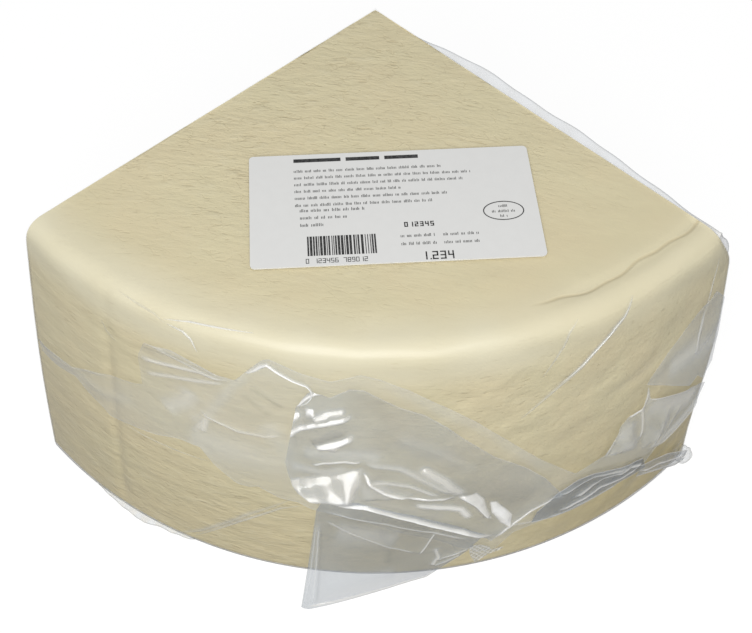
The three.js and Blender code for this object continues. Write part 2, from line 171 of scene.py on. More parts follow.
FOLD_CREASES = (
    (((-5.4, 54.8), (-2.9, 55), (-0.2, 54.1), (2.1, 50.8), (5.3, 46), (9.3, 38.1),
      (12.2, 31.3), (15.4, 22.6)), 2.2, 3.0, 0.75, 0.6),
    (((-1, 54.2), (1, 51.9), (5.3, 46), (10.9, 34.7), (13, 29)), 1.2, 0.3, 0.8, 0.95),
    (((-1, 50.9), (2.9, 45.8), (6.9, 38.1), (11.4, 27.5), (13.9, 21.2)), 1.0, 0.6, 0.42, 0.5),
    (((2, 49), (6, 42), (11, 31)), 1.0, 0.2, 0.8, -0.8),
    (((-0.8, 73), (0.3, 67.3), (1.7, 63.4), (5.2, 58.2), (10.3, 54.8)), 1.4, 1.4, 0.45, 0.65),
    (((-6.6, 74.3), (-5.2, 76.7), (-2.9, 78.3), (-0.7, 77.9)), 1.6, 0.9, 0.4, 0.6),
    (((-0.9, 78), (3.5, 74.6), (7, 66), (10, 57.2)), 3.2, 1.4, 1.4, 0.16),
    (((5.6, 74.6), (8.5, 66), (11, 54.8)), 2.0, 0.6, 1.8, 0.28),
    (((-0.9, 69.6), (1.3, 67.5), (4.7, 64.6), (8.3, 57.7)), 2.4, 1.0, 0.8, 0.2),
    (((-8.3, 103.4), (-7, 108.6), (-6.1, 110.7), (-5.3, 111.4), (-4.2, 109.5)), 1.0, 0.8, 0.5, 0.7),
    (((-9.5, 87.9), (-9.4, 93), (-8.8, 97.6), (-7.8, 100.8)), 2.2, 1.2, 1.0, 0.65),
    (((-9.4, 87.7), (-8.6, 91.9), (-7.8, 94.1), (-6.3, 96.3), (-4.5, 98.5), (-1.9, 101.1)),
     2.6, 1.8, 1.0, 0.6),
    (((-7.2, 101.8), (-6.2, 102)), 1.5, 0.6, 1.2, 0.6),
    (((-6.4, 98.6), (-4.8, 102), (-2.6, 104)), 2.0, 0.6, 1.4, 0.25),
    (((-7.6, 97.8), (-6, 100), (-4.4, 100.6)), 2.0, 0.6, 1.2, -0.5),
    (((-6.5, 86.1), (-4.8, 90.5), (-2.5, 94.2)), 2.0, 0.8, 1.8, -0.9),
    (((-6.2, 84.8), (-4.8, 87), (-3.2, 88.6), (-1.8, 91)), 2.4, 1.4, 1.1, 0.6),
    (((22.8, 38.2), (19.7, 35), (16.8, 27.6), (15.2, 21.6)), 1.2, 1.0, 0.5, 0.5),
    (((10.6, 55.6), (12.6, 48), (14.4, 37.6)), 1.6, 1.4, 0.5, 0.6),
    (((24, 44), (27, 41), (23, 37.5)), 1.6, 0.8, 0.5, 0.2),
    (((5.2, 53.4), (7.5, 51.1), (10.8, 46.4), (12.1, 39)), 1.8, 0.8, 1.2, 0.45),
    (((11.4, 57), (12.9, 53), (13.4, 47)), 1.5, 0.4, 0.8, -0.6),
    (((2.6, 91), (8.2, 80), (13, 66)), 4.0, 0.7, 4.0, 0.06),
    (((0, 96), (6, 86), (11, 72)), 4.0, 0.7, 7.0, -0.2),
    (((-8, 80), (-4, 82), (2, 80)), 4.0, 0.5, 3.5, 0.1),
    (((8, 62), (14, 54), (20, 42)), 4.0, 0.7, 6.0, -0.5),
    (((1, 60), (6, 54), (9, 47)), 3.0, 0.5, 3.0, -0.3),
    (((-9.2, 72), (-5, 70), (-2, 74)), 1.5, 0.3, 2.5, 0.12),
)
FOLD_PATCHES = (
    (((-9.2, 63.2), (-7.1, 66.2), (-3.5, 71), (-1.8, 73.4), (-0.9, 73.8), (-1, 68.1), (-1.6, 58.4),
      (-1.8, 56.3), (-5.6, 54.8), (-7, 55), (-8.5, 59.4)), 4.2, 0.3, 1.2),
    (((-9.2, 63.2), (-8, 65.4), (-7.2, 60), (-5.6, 57), (-5.4, 54.8), (-7, 55), (-8.5, 59.4)),
     0.6, 0.5, 1.0),
    (((-3.2, 71), (-0.9, 73.6), (-1.1, 68), (-1.6, 58.4), (-2.6, 58), (-3, 64)), 0.8, 0.48, 1.8),
    (((-0.8, 73.6), (1, 67.6), (2.7, 63.6), (4.9, 60), (1.9, 57.4), (-1.2, 57)), 2.4, 0.13, 1.4),
    (((10.5, 54.3), (12.4, 55.6), (13.3, 51.3), (13.8, 44.6), (14.6, 36.4), (13.9, 39.2), (12.3, 48.6)),
     2.2, 0.75, 0.7),
    (((14.3, 47.4), (15, 47), (17.2, 35.6), (17, 28.4), (15.9, 32), (14.6, 41)), 2.4, 0.95, 0.5),
    (((-6.4, 86.5), (-5.2, 88), (-1.8, 91.4), (-3, 87), (-3.9, 83.5), (-4.8, 84.6)), 1.8, 0.35, 0.8),
)
# Haze of each sheet, with its painted bluish reflection: (angle, share of the light that one face
# scatters)
TAIL_HAZE = ((-45, 0.05), (-28, 0.06), (-20, 0.1), (-8, 0.08), (2, 0.05), (20, 0.06), (30, 0.12))
CORNER_HAZE = ((-6, 0.16), (0, 0.13))
GATHER_HAZE = ((22, 0.19), (28, 0.12))
FOLD_HAZE = ((-9, 0.12), (6, 0.09), (20, 0.1))
WRAP_HAZE = ((34, 0.1), (48, 0.12))
STRIP_HAZE = ((0, 0.1),)

# The edge of the fold that is rolled over: angle, height and width along it
CURL = (
    (-13.8, 115.4, 1.6), (-12.8, 118.1, 2.6), (-12, 120.8, 3.0), (-11.4, 122, 2.2), (-10.7, 120.3, 2.0),
    (-10, 118.8, 1.8), (-8.5, 116.4, 1.4), (-7, 114.8, 1.2), (-6.5, 112.7, 1.1), (-6.5, 109.5, 1.0),
    (-7, 106.7, 1.0), (-8, 104.2, 0.6),
)
CORNER_RIBS = (
    (-7.3, 0.9, -6.1, 46), (-6.9, 0.5, -5.4, 52), (-3.7, 0.4, -1.5, 53), (-0.4, 0.4, 1.5, 49),
    (3.2, 0.4, 5, 45), (7.2, 0.4, 8.2, 39), (9, 6, 10.4, 34.5), (10.8, 11.9, 12.4, 29),
    (12.2, 16, 14.2, 24.5),
)
CORNER_CREASES = (
    (((-7.1, 1), (-6.5, 15), (-6, 41)), 1.0, 0.5, 0.35, 0.13),
    (((-6.1, 1), (-5.9, 15), (-5.7, 41)), 1.0, 0.4, 0.4, 0.16),
    (((-5.6, 1), (-5.5, 15), (-5.4, 41)), 1.0, 0.3, 0.5, -0.4),
    (((-7.3, 2), (-3.7, 1.4), (-0.4, 1.4), (3.2, 1.2), (7.2, 1.2), (9, 6.6)), 1.0, 0.3, 0.8, 0.3),
    (((-5.2, 41.6), (-0.9, 34), (3.1, 25.8), (6.3, 18.6)), 1.4, 0.5, 0.3, 0.25),
    (((7.9, 32.1), (6.9, 23.3), (6.1, 18)), 1.2, 0.6, 0.32, 0.35),
    (((-5.4, 47), (2, 41), (8, 32), (12.6, 22.6)), 1.2, 0.5, 0.4, 0.25),
    (((8.1, 21), (8.5, 15.6), (7.6, 9)), 1.2, 0.8, 0.7, 0.22),
    (((7.8, 9.6), (9.4, 11.4), (11.4, 15.6)), 1.2, 0.8, 0.6, 0.18),
    (((8.2, 14), (9.9, 15.4), (12.3, 17.8)), 1.2, 0.8, 0.35, 0.25),
    (((-4, 36), (0, 34), (4, 30)), 5, 0.4, 6, 0.1),
    (((-5, 12), (0, 10), (4, 10)), 5, 0.4, 4, 0.08),
    (((1.4, 38), (2.6, 26), (2.4, 14)), 2, 0.4, 1.6, -0.3),
    (((-3, 46), (3, 42), (8, 34)), 3, 0.4, 3, -0.3),
)
GATHER_RIBS = (
    (20, 24, 20.6, 30), (22.8, 22.6, 23.3, 38.5), (26, 22.2, 25.8, 41.6), (28.5, 23.2, 28, 41.4),
    (31.7, 25, 31, 37.6), (33.9, 23.6, 33.8, 34), (37, 22.6, 36.2, 31),
)
GATHER_CREASES = (
    (((31.4, 33.7), (33.3, 32.9), (36.3, 27.3)), 0.9, 0.8, 0.6, 0.5),
    (((28.1, 36), (29.5, 37), (32.7, 34)), 0.9, 0.4, 0.8, -0.7),
    (((24, 30), (29, 33), (34, 29.5)), 0.9, 0.4, 0.8, -0.7),
    (((23.4, 26), (29.3, 30.6), (36.2, 27.6)), 1.0, 1.3, 0.4, 0.5),
    (((25.5, 31), (29.3, 36), (34.7, 32.2)), 0.9, 1.0, 0.5, 0.35),
    (((23.2, 36.6), (28, 39.8), (33.6, 33.4)), 0.9, 0.8, 0.35, 0.3),
    (((22, 24), (27.5, 24.6), (33, 25.6)), 0.9, 0.8, 0.35, 0.35),
)

# Slack film at the right end, and the strip that runs from the gather to the twisted end
WRAP_RIBS = (
    (34.8, 78, 35.2, 80), (38, 70.5, 38, 89), (41, 62.5, 41, 95.5), (43.6, 55.5, 43.5, 99),
    (45, 58, 45, 99), (46.4, 52, 46.2, 101), (48.2, 58, 48.6, 92),
)
WRAP_CREASES = (
    (((38, 78), (42, 78), (46, 74), (48, 68)), 6, 0.4, 7, 0.12),
    (((44, 94), (43.4, 84), (43.2, 74)), 1.0, 0.4, 0.5, 0.3),
)
STRIP_RIBS = (
    (35, 23, 35.6, 29), (37, 20.5, 38, 26.5), (39.4, 15, 40.6, 22.5), (43, 6, 43.9, 13.5),
    (45, 2.6, 45.6, 8),
)
STRIP_CREASES = (
    (((35.3, 26), (39.2, 21), (43.4, 11.4), (45.4, 6.4)), 1.2, 0.8, 0.4, 0.4),
    (((35.6, 24), (40, 15.4), (44.4, 5.4)), 1.2, 0.6, 0.4, 0.3),
)

# Creases of the tight film: (angle, run up the side and over the shoulder)
SKIN_CREASES = (
    # points, width, rise, glint
    (((-24.2, 124), (-21, 126.2), (-18, 127), (-13.5, 128.2)), 1.1, 0.3, 0.6),
    (((-23.7, 122.8), (-21.7, 122.2), (-20.6, 120.2), (-19.8, 116)), 1.4, 0.35, 0.45),
    (((-30.6, 126.2), (-27.4, 125.2), (-25.5, 124.5), (-23.9, 122.5)), 1.4, 0.35, 0.03),
    (((-33, 111), (-32.3, 106.8), (-30.8, 104)), 1.4, 0.35, 0.03),
    (((-31.9, 61.2), (-28, 59.8), (-22.8, 59.8), (-18.4, 60.5)), 1.0, 0.3, 0.12),
    (((-24.5, 2), (-20.7, 12.5), (-14.5, 34), (-9.1, 49.3)), 3.4, 0.5, 0.1),
    (((-21.8, 6), (-15.4, 28.4), (-10.3, 43), (-8, 46)), 2.2, 0.4, 0.14),
    (((31.6, 126.5), (29.8, 120.2), (28.4, 117.2), (24.6, 106.2), (22, 100.5), (17.3, 88.5)),
     3.4, 0.6, 0.14),
    (((31.4, 126), (29.8, 120.6), (28.4, 117.8), (24.6, 106.9), (22, 101)), 0.8, 0.9, 0.7),
    (((24.1, 126.5), (22.6, 122.5), (21.2, 114), (19.6, 106.5)), 1.6, 0.4, 0.12),
    (((44.9, 99.2), (44, 92), (43.7, 83.8), (43.6, 73.5)), 1.2, 0.4, 0.5),
    (((45.6, 118), (44.8, 104), (44.2, 96)), 1.4, 0.4, 0.35),
)

# How far the normal of the film's painted highlights leans back to the light, as tiny facets of
# whitened film do
FACET_LEAN = 0.7

SHEETS = (
    # name, ribs, columns and rows, offset, creases, patches,
    # depth and size of facets, haze and painted reflection, share of the film's tint, painted highlight
    # of its hem
    ("bag_tail", TAIL_RIBS, (310, 110), TAIL_OFFSET, TAIL_CREASES, TAIL_PATCHES,
     (0.3, 26), TAIL_HAZE, 0.0, 0.1),
    ("bag_corner", CORNER_RIBS, (130, 110), CORNER_OFFSET, CORNER_CREASES, (),
     (0.3, 30), CORNER_HAZE, 0.62, 0.08),
    ("bag_gather", GATHER_RIBS, (120, 40), GATHER_OFFSET, GATHER_CREASES, (),
     (0.5, 9), GATHER_HAZE, 0.95, 0.25),
    ("bag_fold", FOLD_RIBS, (230, 110), FOLD_OFFSET, FOLD_CREASES, FOLD_PATCHES,
     (0.5, 22), FOLD_HAZE, 0.22, 0.15),
    ("bag_wrap", WRAP_RIBS, (60, 40), WRAP_OFFSET, WRAP_CREASES, (),
     (0.2, 20), WRAP_HAZE, 0.0, 0.1),
    ("bag_strip", STRIP_RIBS, (90, 30), STRIP_OFFSET, STRIP_CREASES, (),
     (0.3, 8), STRIP_HAZE, 0.4, 0.3),
)

# Seam of the bag and the film pressed out at the foot
FIN_SHARE = 0.78
FIN_DROP = 3.4
FIN_WIDTH = 6.2
WEB_WIDTH = 2.6
WEB_BOTTOM = 92.0
FRILL_START = -37.0
FRILL_END = -22.0
FRILL_WIDTH = 2.8
NUB_ANGLE = 45.2
NUB_HEIGHT = 5.0
NUB_REACH = 1.8
NUB_SIZE = (4.2, 3.6, 3.6)
SEAL_RIBS = (
    (12.4, 13.4, 12.3, 17.8), (12.7, 9.5, 13, 18.2), (13.2, 5.8, 13.9, 17.5),
    (14.2, 7.6, 14.9, 14.8), (15, 9.9, 15.1, 12.4), (16.6, 10.9, 16.7, 12.3),
)
SEAL_PITCH = 1.7

# The label
LABEL_PLACE = (6.9, -101.6)
LABEL_TURN = 4.4
PRINT_LIFT = 0.06
PRINT_SEED = 5
# The parts of a plain digit, each as (left, right, low, high) of its cell
SEGMENTS = {
    "top": (0, 1, 1, 1), "upper left": (0, 0, 0.5, 1), "upper right": (1, 1, 0.5, 1),
    "middle": (0, 1, 0.5, 0.5), "lower left": (0, 0, 0, 0.5), "lower right": (1, 1, 0, 0.5),
    "bottom": (0, 1, 0, 0),
}
MISSING = {
    "0": ("middle",), "1": ("top", "upper left", "middle", "lower left", "bottom"),
    "2": ("upper left", "lower right"), "3": ("upper left", "lower left"),
    "4": ("top", "lower left", "bottom"), "5": ("upper right", "lower left"),
    "6": ("upper right",), "7": ("upper left", "middle", "lower left", "bottom"),
    "8": (), "9": ("lower left",),
}

# The stage
FLOOR_SIZE = 6
KEY_AIM = (0, -0.01, 0.08)
KEY_AZIMUTH = -5
KEY_ELEVATION = 48
KEY_DISTANCE = 1.1
KEY_SIZE = (0.8, 0.7)
FILM_BOUNCES = 32

# The camera, from the photograph's perspective
CAMERA_PLACE = (-3.98, -258.05, 421.93)
CAMERA_AZIMUTH = 0.19
CAMERA_ELEVATION = 54.72
CAMERA_ROLL = 0.71
FOCAL_PIXELS = 1139.0
IMAGE_CENTRE = (361.6, 315.4)
IMAGE_SIZE = (752, 633)
SENSOR = 36.0


# ---- shape functions ----

def smooth(value, low, high):
    t = np.clip((np.asarray(value, float) - low) / (high - low), 0, 1)
    return t * t * (3 - 2 * t)


def hump(distance, width):
    return np.exp(-((distance / width) ** 2))


def around(angle, radius, height):
    """Points in millimetres from an angle round the apex, a radius and a height."""
    turn = np.radians(angle)
    return np.stack(
        np.broadcast_arrays(
            APEX[0] + radius * np.sin(turn), APEX[1] - radius * np.cos(turn), height
        ),
        axis=-1,
    )


def lumps(along, across):
    """Crossed waves from -1 to 1, uneven as pressed curd."""
    swirl = 1.7 * np.sin(across / 17 + 0.6) + 1.1 * np.sin(along / 23)
    wide = np.sin(along / 8.3 + swirl) * np.cos(across / 6.1 - 0.7 * swirl)
    fine = np.sin(along / 4.7 - across / 9.2 + swirl)
    return 0.65 * wide + 0.35 * fine


def side_radius(height):
    """Radius of the side, whose taper runs out softly inside the shoulder."""
    over = np.clip(height - SIDE_TOP, 0, TAPER_END)
    rise = (np.clip(height, 0, SIDE_TOP) + over - over ** 2 / (2 * TAPER_END)) / SIDE_TOP
    taper = BASE_RADIUS + (SHOULDER_RADIUS - BASE_RADIUS) * rise
    return taper + SIDE_BULGE * np.sin(np.pi * rise)


def side_dent(angle, height):
    along = np.radians(angle) * BASE_RADIUS
    worn = 1 - 0.7 * smooth(height, 88, 114)
    seam_place = math.radians(SEAM_ANGLE) * BASE_RADIUS
    seam = SEAM_DEPTH * worn * hump(along - seam_place, SEAM_WIDTH)
    rough = 0.5 + 0.7 * smooth(angle, 5, 25)
    calm = smooth(height, 0, FOOT_CALM)
    return (0.3 * rough * (lumps(along, 1.8 * height) - 0.4) - seam) * calm


def top_dent(x, y):
    radius = np.hypot(x - APEX[0], y - APEX[1])
    angle = np.degrees(np.arctan2(x - APEX[0], APEX[1] - y))
    reach = smooth(angle, LIP_START, LIP_START + 8)
    lip = LIP_DEPTH * hump(radius - LIP_RADIUS, LIP_WIDTH) * reach
    return 0.1 * (lumps(x, 1.6 * y) - 1) - lip


def grain(points, stretch, seed=0.0):
    """Smooth noise from -1 to 1 at points in millimetres, with a wavelength for each axis."""
    scaled = points / np.asarray(stretch, float) + seed
    return np.array([noise.noise(Vector(p)) for p in scaled])


def corner_lift(angle, height):
    """How far the hanging corner stands out from the side."""
    down = np.clip((CORNER_TOP - height) / CORNER_TOP, 0, 1)
    near = np.clip(1 - (angle - CORNER_MIDDLE) / CORNER_SPREAD, 0, 1)
    return CORNER_LIFT * down ** 1.4 * near ** 1.3


def corner_push(angle, share, height):
    """How many degrees the right corner is pressed out, less and less away from its edge."""
    up = smooth(height, PUSH_FOOT, PUSH_FULL) * smooth(HEIGHT - height, -1, 20)
    near = smooth(angle, 26, HALF_SWEEP) * smooth(share, 0.45, 0.9)
    return np.degrees(PUSH_SIZE * up * near / side_radius(height))


def skin_place(run):
    """Radius and height at a run up the side, round the shoulder and in over the top."""
    turn = np.clip((run - SIDE_TOP) / SHOULDER_RUN, 0, 1) * math.pi / 2
    rise = SHOULDER_SIZE * np.sin(turn) ** (2 / SHOULDER_POWER)
    inset = SHOULDER_SIZE * (1 - np.cos(turn) ** (2 / SHOULDER_POWER))
    inward = np.maximum(0, run - SIDE_TOP - SHOULDER_RUN)
    height = np.minimum(run, SIDE_TOP) + rise
    return side_radius(height) - inset - inward, height


def on_skin(angle, run, lift):
    """Points that stand off the tight film by a lift along its normal."""
    radius, height = skin_place(run)
    next_radius, next_height = skin_place(run + 0.5)
    length = np.hypot(next_radius - radius, next_height - height)
    outward = (next_height - height) / length
    upward = (radius - next_radius) / length
    return around(angle, radius + lift * outward, height + lift * upward)


def strip(angle, height):
    """The side unrolled flat, in millimetres."""
    return np.stack([np.radians(angle) * STRIP_RADIUS, np.asarray(height, float)], axis=-1)


def line_reach(places, points):
    """Distance of places from a line through points, and the share of the line passed there."""
    corners = strip(*np.transpose(points))
    lengths = np.hypot(*np.diff(corners, axis=0).T)
    passed = np.concatenate([[0], np.cumsum(lengths)])
    best = np.full(len(places), np.inf)
    share = np.zeros(len(places))
    for i, length in enumerate(lengths):
        run = corners[i + 1] - corners[i]
        t = np.clip((places - corners[i]) @ run / length ** 2, 0, 1)
        distance = np.hypot(*(places - corners[i] - t[:, None] * run).T)
        closer = distance < best
        best = np.where(closer, distance, best)
        share = np.where(closer, (passed[i] + t * length) / passed[-1], share)
    return best, share


def area_depth(places, corners):
    """Depth of places inside an outline, negative outside it."""
    distance, _ = line_reach(places, (*corners, corners[0]))
    outline = strip(*np.transpose(corners))
    inside = np.zeros(len(places), bool)
    for (x0, y0), (x1, y1) in zip(outline, np.roll(outline, -1, axis=0)):
        crosses = (y0 > places[:, 1]) != (y1 > places[:, 1])
        slope = (x1 - x0) / (y1 - y0) if y1 != y0 else 0
        inside ^= crosses & (places[:, 0] < x0 + (places[:, 1] - y0) * slope)
    return np.where(inside, distance, -distance)


def folds(places, size, seed):
    """Flat facets of crumpled film, from -1 to 1: triangle waves in several directions."""
    draw = random.Random(seed)
    total = np.zeros(len(places))
    for _ in range(5):
        turn = draw.uniform(0, math.pi)
        wave = size * draw.uniform(0.7, 1.6)
        phase = places @ (math.cos(turn), math.sin(turn)) / wave + draw.random()
        total += 4 * np.abs(phase % 1 - 0.5) - 1
    return total / 5


def creased(places, creases):
    """Rise, whitening with a painted highlight, and darkening with painted shade that creases give a
    film.
    """
    rise = np.zeros(len(places))
    glint = np.zeros(len(places))
    shade = np.zeros(len(places))
    for points, width, height, stroke, shine in creases:
        distance, share = line_reach(places, points)
        ends = smooth(share, -0.01, 0.12) * (1 - smooth(share, 0.84, 1.01))
        rise += height * ends * np.exp(-(np.sqrt(distance ** 2 + 0.1) - 0.3) / width)
        mark = ends * hump(distance, stroke)
        glint = np.maximum(glint, max(shine, 0) * mark)
        shade = np.maximum(shade, 0.47 * max(-shine, 0) * mark)
    return rise, glint, shade


def patched(places, patches):
    """Rise, and whitening with a painted highlight, of facets that lean back to the light."""
    rise = np.zeros(len(places))
    glint = np.zeros(len(places))
    crumple = folds(places, 8, 12)
    for corners, height, shine, softness in patches:
        depth = area_depth(places, corners)
        heights = [corner[1] for corner in corners]
        low, high = min(heights), max(heights)
        lean = np.clip((high - places[:, 1]) / (high - low), 0, 1)
        rise += height * smooth(depth, -1.2, 3) * lean
        mark = smooth(depth, -softness, softness)
        glint = np.maximum(glint, mark * shine * (0.62 + 0.5 * crumple))
    return rise, glint


# ---- mesh helpers ----

def deselect_all():
    bpy.ops.object.select_all(action="DESELECT")


def active():
    return bpy.context.view_layer.objects.active


def coordinates(obj):
    flat = np.empty(len(obj.data.vertices) * 3)
    obj.data.vertices.foreach_get("co", flat)
    return flat.reshape(-1, 3)


def set_coordinates(obj, points):
    obj.data.vertices.foreach_set("co", np.ascontiguousarray(points, float).ravel())
    obj.data.update()


def vertex_normals(obj):
    flat = np.empty(len(obj.data.vertices) * 3)
    obj.data.vertices.foreach_get("normal", flat)
    return flat.reshape(-1, 3)


def paint(obj, name, values):
    """Stores one number for each point of a mesh, for its material to read."""
    attribute = obj.data.attributes.new(name, "FLOAT", "POINT")
    values = np.broadcast_to(np.clip(values, 0, 1), len(obj.data.vertices))
    attribute.data.foreach_set("value", np.ascontiguousarray(values, float))


def paint_vector(obj, name, vectors):
    attribute = obj.data.attributes.new(name, "FLOAT_VECTOR", "POINT")
    attribute.data.foreach_set("vector", np.ascontiguousarray(vectors, float).ravel())


def pick(obj):
    deselect_all()
    obj.select_set(True)
    bpy.context.view_layer.objects.active = obj


def edit(obj, *steps):
    """Runs edit-mode steps on the whole mesh of one object."""
    pick(obj)
    bpy.ops.object.mode_set(mode="EDIT")
    bpy.ops.mesh.select_all(action="SELECT")
    for step in steps:
        step()
    bpy.ops.object.mode_set(mode="OBJECT")


def thicken(obj, thickness):
    """Gives a sheet its thickness, inwards from the face that shows."""
    pick(obj)
    bpy.ops.object.modifier_add(type="SOLIDIFY")
    obj.modifiers[-1].thickness = thickness * MM
    obj.modifiers[-1].offset = -1
    bpy.ops.object.modifier_apply(modifier=obj.modifiers[-1].name)


def join(objects):
    deselect_all()
    for obj in objects:
        obj.select_set(True)
    bpy.context.view_layer.objects.active = objects[0]
    bpy.ops.object.join()
    return active()


def finish_piece(obj, name, material, slot, *nodes):
    obj.name = name
    obj.data.name = name
    obj.data.materials.clear()
    obj.data.materials.append(material)
    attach(obj, BODY)
    if nodes:
        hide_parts(*nodes)
    return obj


def smooth_shade(obj):
    pick(obj)
    bpy.ops.object.shade_smooth_by_angle(angle=math.radians(SHARP_ANGLE))


def unit_grid(columns, rows):
    """A flat grid and the shares of its points along and across, from 0 to 1."""
    deselect_all()
    bpy.ops.mesh.primitive_grid_add(x_subdivisions=columns, y_subdivisions=rows, size=1)
    sheet = active()
    flat = coordinates(sheet)
    return sheet, flat[:, 0] + 0.5, flat[:, 1] + 0.5


def rib_sheet(ribs, columns, rows, softness=1.5):
    """A grid spread over ribs on the side: the sheet, its angles, heights and edge distances."""
    sheet, along, across = unit_grid(columns, rows)
    ribs = np.asarray(ribs, float)
    middle = strip((ribs[:, 0] + ribs[:, 2]) / 2, (ribs[:, 1] + ribs[:, 3]) / 2)
    passed = np.concatenate([[0], np.cumsum(np.hypot(*np.diff(middle, axis=0).T))])
    fine = np.linspace(0, passed[-1], 800)
    window = max(1, int(softness / (fine[1] - fine[0])))
    blur = np.ones(window) / window
    lines = []
    for column in ribs.T:
        line = np.pad(np.interp(fine, passed, column), window, mode="edge")
        lines.append(np.convolve(line, blur, "same")[window:-window])
    low_angle, low_height, high_angle, high_height = (
        np.interp(along * passed[-1], fine, line) for line in lines
    )
    angle = low_angle + (high_angle - low_angle) * across
    height = low_height + (high_height - low_height) * across
    length = np.hypot(
        np.radians(high_angle - low_angle) * STRIP_RADIUS, high_height - low_height
    )
    edge = np.minimum(across, 1 - across) * length
    return sheet, angle, height, edge


def unit_wedge(cuts):
    """A wedge of radius and height 1, spun from a gridded cut face round the apex."""
    deselect_all()
    bpy.ops.mesh.primitive_grid_add(x_subdivisions=WEDGE_ACROSS, y_subdivisions=WEDGE_UP, size=1)
    wedge = active()
    flat = coordinates(wedge)
    share = flat[:, 0] + 0.5
    level = flat[:, 1] + 0.5
    turn = math.radians(-HALF_SWEEP)
    set_coordinates(
        wedge, np.stack([share * math.sin(turn), -share * math.cos(turn), level], axis=1)
    )
    edit(
        wedge,
        lambda: bpy.ops.mesh.spin(
            steps=WEDGE_STEPS, angle=math.radians(-2 * HALF_SWEEP), center=(0, 0, 0), axis=(0, 0, 1)
        ),
        lambda: bpy.ops.mesh.select_all(action="SELECT"),
        lambda: bpy.ops.mesh.remove_doubles(threshold=1e-5),
        lambda: bpy.ops.mesh.normals_make_consistent(inside=False),
    )
    merge_base(wedge)
    edit(wedge, lambda: bpy.ops.mesh.subdivide(number_cuts=cuts))
    return wedge


def merge_base(obj):
    """Joins the many faces of the flat base into one."""
    for face in obj.data.polygons:
        face.select = face.center.z < 1e-6
    picked = {vertex for face in obj.data.polygons if face.select for vertex in face.vertices}
    for edge in obj.data.edges:
        edge.select = picked.issuperset(edge.vertices)
    for vertex in obj.data.vertices:
        vertex.select = vertex.index in picked
    bpy.ops.object.mode_set(mode="EDIT")
    bpy.ops.mesh.select_mode(type="FACE")
    bpy.ops.mesh.dissolve_faces()
    bpy.ops.mesh.select_mode(type="VERT")
    bpy.ops.object.mode_set(mode="OBJECT")


def wedge_places(unit):
    """Angle, share of the radius and height of a unit wedge's points, off their chords."""
    angle = np.degrees(np.arctan2(unit[:, 0], -unit[:, 1]))
    step = 2 * HALF_SWEEP / WEDGE_STEPS
    off_middle = np.mod(angle + HALF_SWEEP, step) - step / 2
    sag = np.cos(np.radians(off_middle)) / math.cos(math.radians(step / 2))
    share = np.minimum(np.hypot(unit[:, 0], unit[:, 1]) * sag, 1)
    return angle, share, unit[:, 2] * HEIGHT


def rounded_profile(share, height):
    """Radius and height of the profile, its upper outer corner rounded into the shoulder."""
    size = SHOULDER_SIZE
    radius = share * side_radius(height)
    a = (radius - side_radius(height)) / size + 1
    b = (height - HEIGHT) / size + 1
    inside = (a > 0) & (b > 0)
    a_in = np.where(inside, a, 0.5)
    b_in = np.where(inside, b, 0.5)
    reach = np.maximum(a_in, b_in)
    pull = (a_in ** SHOULDER_POWER + b_in ** SHOULDER_POWER) ** (-1 / SHOULDER_POWER) * reach
    new_height = np.where(inside, HEIGHT - size + b_in * pull * size, height)
    new_radius = np.where(inside, side_radius(new_height) - size + a_in * pull * size, radius)
    return new_radius, new_height


def shape_wedge(obj, relief, offset):
    """Gives a unit wedge the cheese's form: taper, shoulder, relief and an even offset."""
    angle, share, height = wedge_places(coordinates(obj))
    radius, height = rounded_profile(share, height)
    radius = radius - BASE_BEVEL * smooth(share, 0.98, 1) * (1 - smooth(height, 0, BASE_BEVEL))
    points = around(angle + corner_push(angle, share, height), radius, height)
    cut = (np.abs(angle) > HALF_SWEEP - 1e-3) & (share > 1e-4)
    side = np.sign(angle) * cut
    set_coordinates(obj, points * MM)
    normals = vertex_normals(obj)
    amount = relief(points, angle, radius, height, normals, side) + offset
    amount = np.where(height < 1e-6, 0, amount)
    points += normals * amount[:, None]
    points[:, 2] = np.maximum(points[:, 2], 0)
    set_coordinates(obj, points * MM)
    return angle, radius, height, side


def curd_relief(points, angle, radius, height, normals, side):
    """Relief of the cheese itself: cloth marks, dimples, cracks and the broken cut faces."""
    on_top = smooth(normals[:, 2], 0.6, 0.95)
    on_cut = np.abs(side)
    on_side = (1 - on_top) * (1 - on_cut)
    rolled = np.stack([np.radians(angle) * radius, height, 0 * height], axis=1)
    lumpy = smooth(angle, -4, 16)
    rows = grain(rolled, (13, 3.8, 9), 3.1) * 0.24 + grain(rolled, (7, 2.9, 9), 7.7) * 0.16
    knobs = grain(rolled, (9, 8, 9), 11.3) * 0.45 + grain(rolled, (4.4, 4, 9), 2.7) * 0.22
    calm = smooth(height, 0, 6) * (1 - 0.8 * smooth(height, HEIGHT - 22, HEIGHT - 8))
    side_part = side_dent(angle, height) + (rows * (1 - lumpy) + knobs * lumpy) * calm
    swells = grain(points, (24, 14, 9), 5.2) * 0.2 + grain(points, (6, 3.4, 9), 1.9) * 0.08
    inner = 1 - smooth(radius, LIP_RADIUS - 8, LIP_RADIUS + 3)
    top_part = top_dent(points[:, 0], points[:, 1]) + swells * (0.25 + 0.75 * inner)
    crumb = grain(points, (3.1, 3.1, 3.1), 8.4) * 0.25 - 0.6 * np.abs(grain(points, (9, 9, 9), 2.2))
    away = smooth(radius, 2, 14) * smooth(HEIGHT - height, 0.5, 7)
    away *= smooth(side_radius(height) - radius, 0, 7)
    cut_part = crumb * (0.15 + 0.85 * away)
    return on_side * side_part + on_top * top_part * (1 - on_cut) + on_cut * cut_part


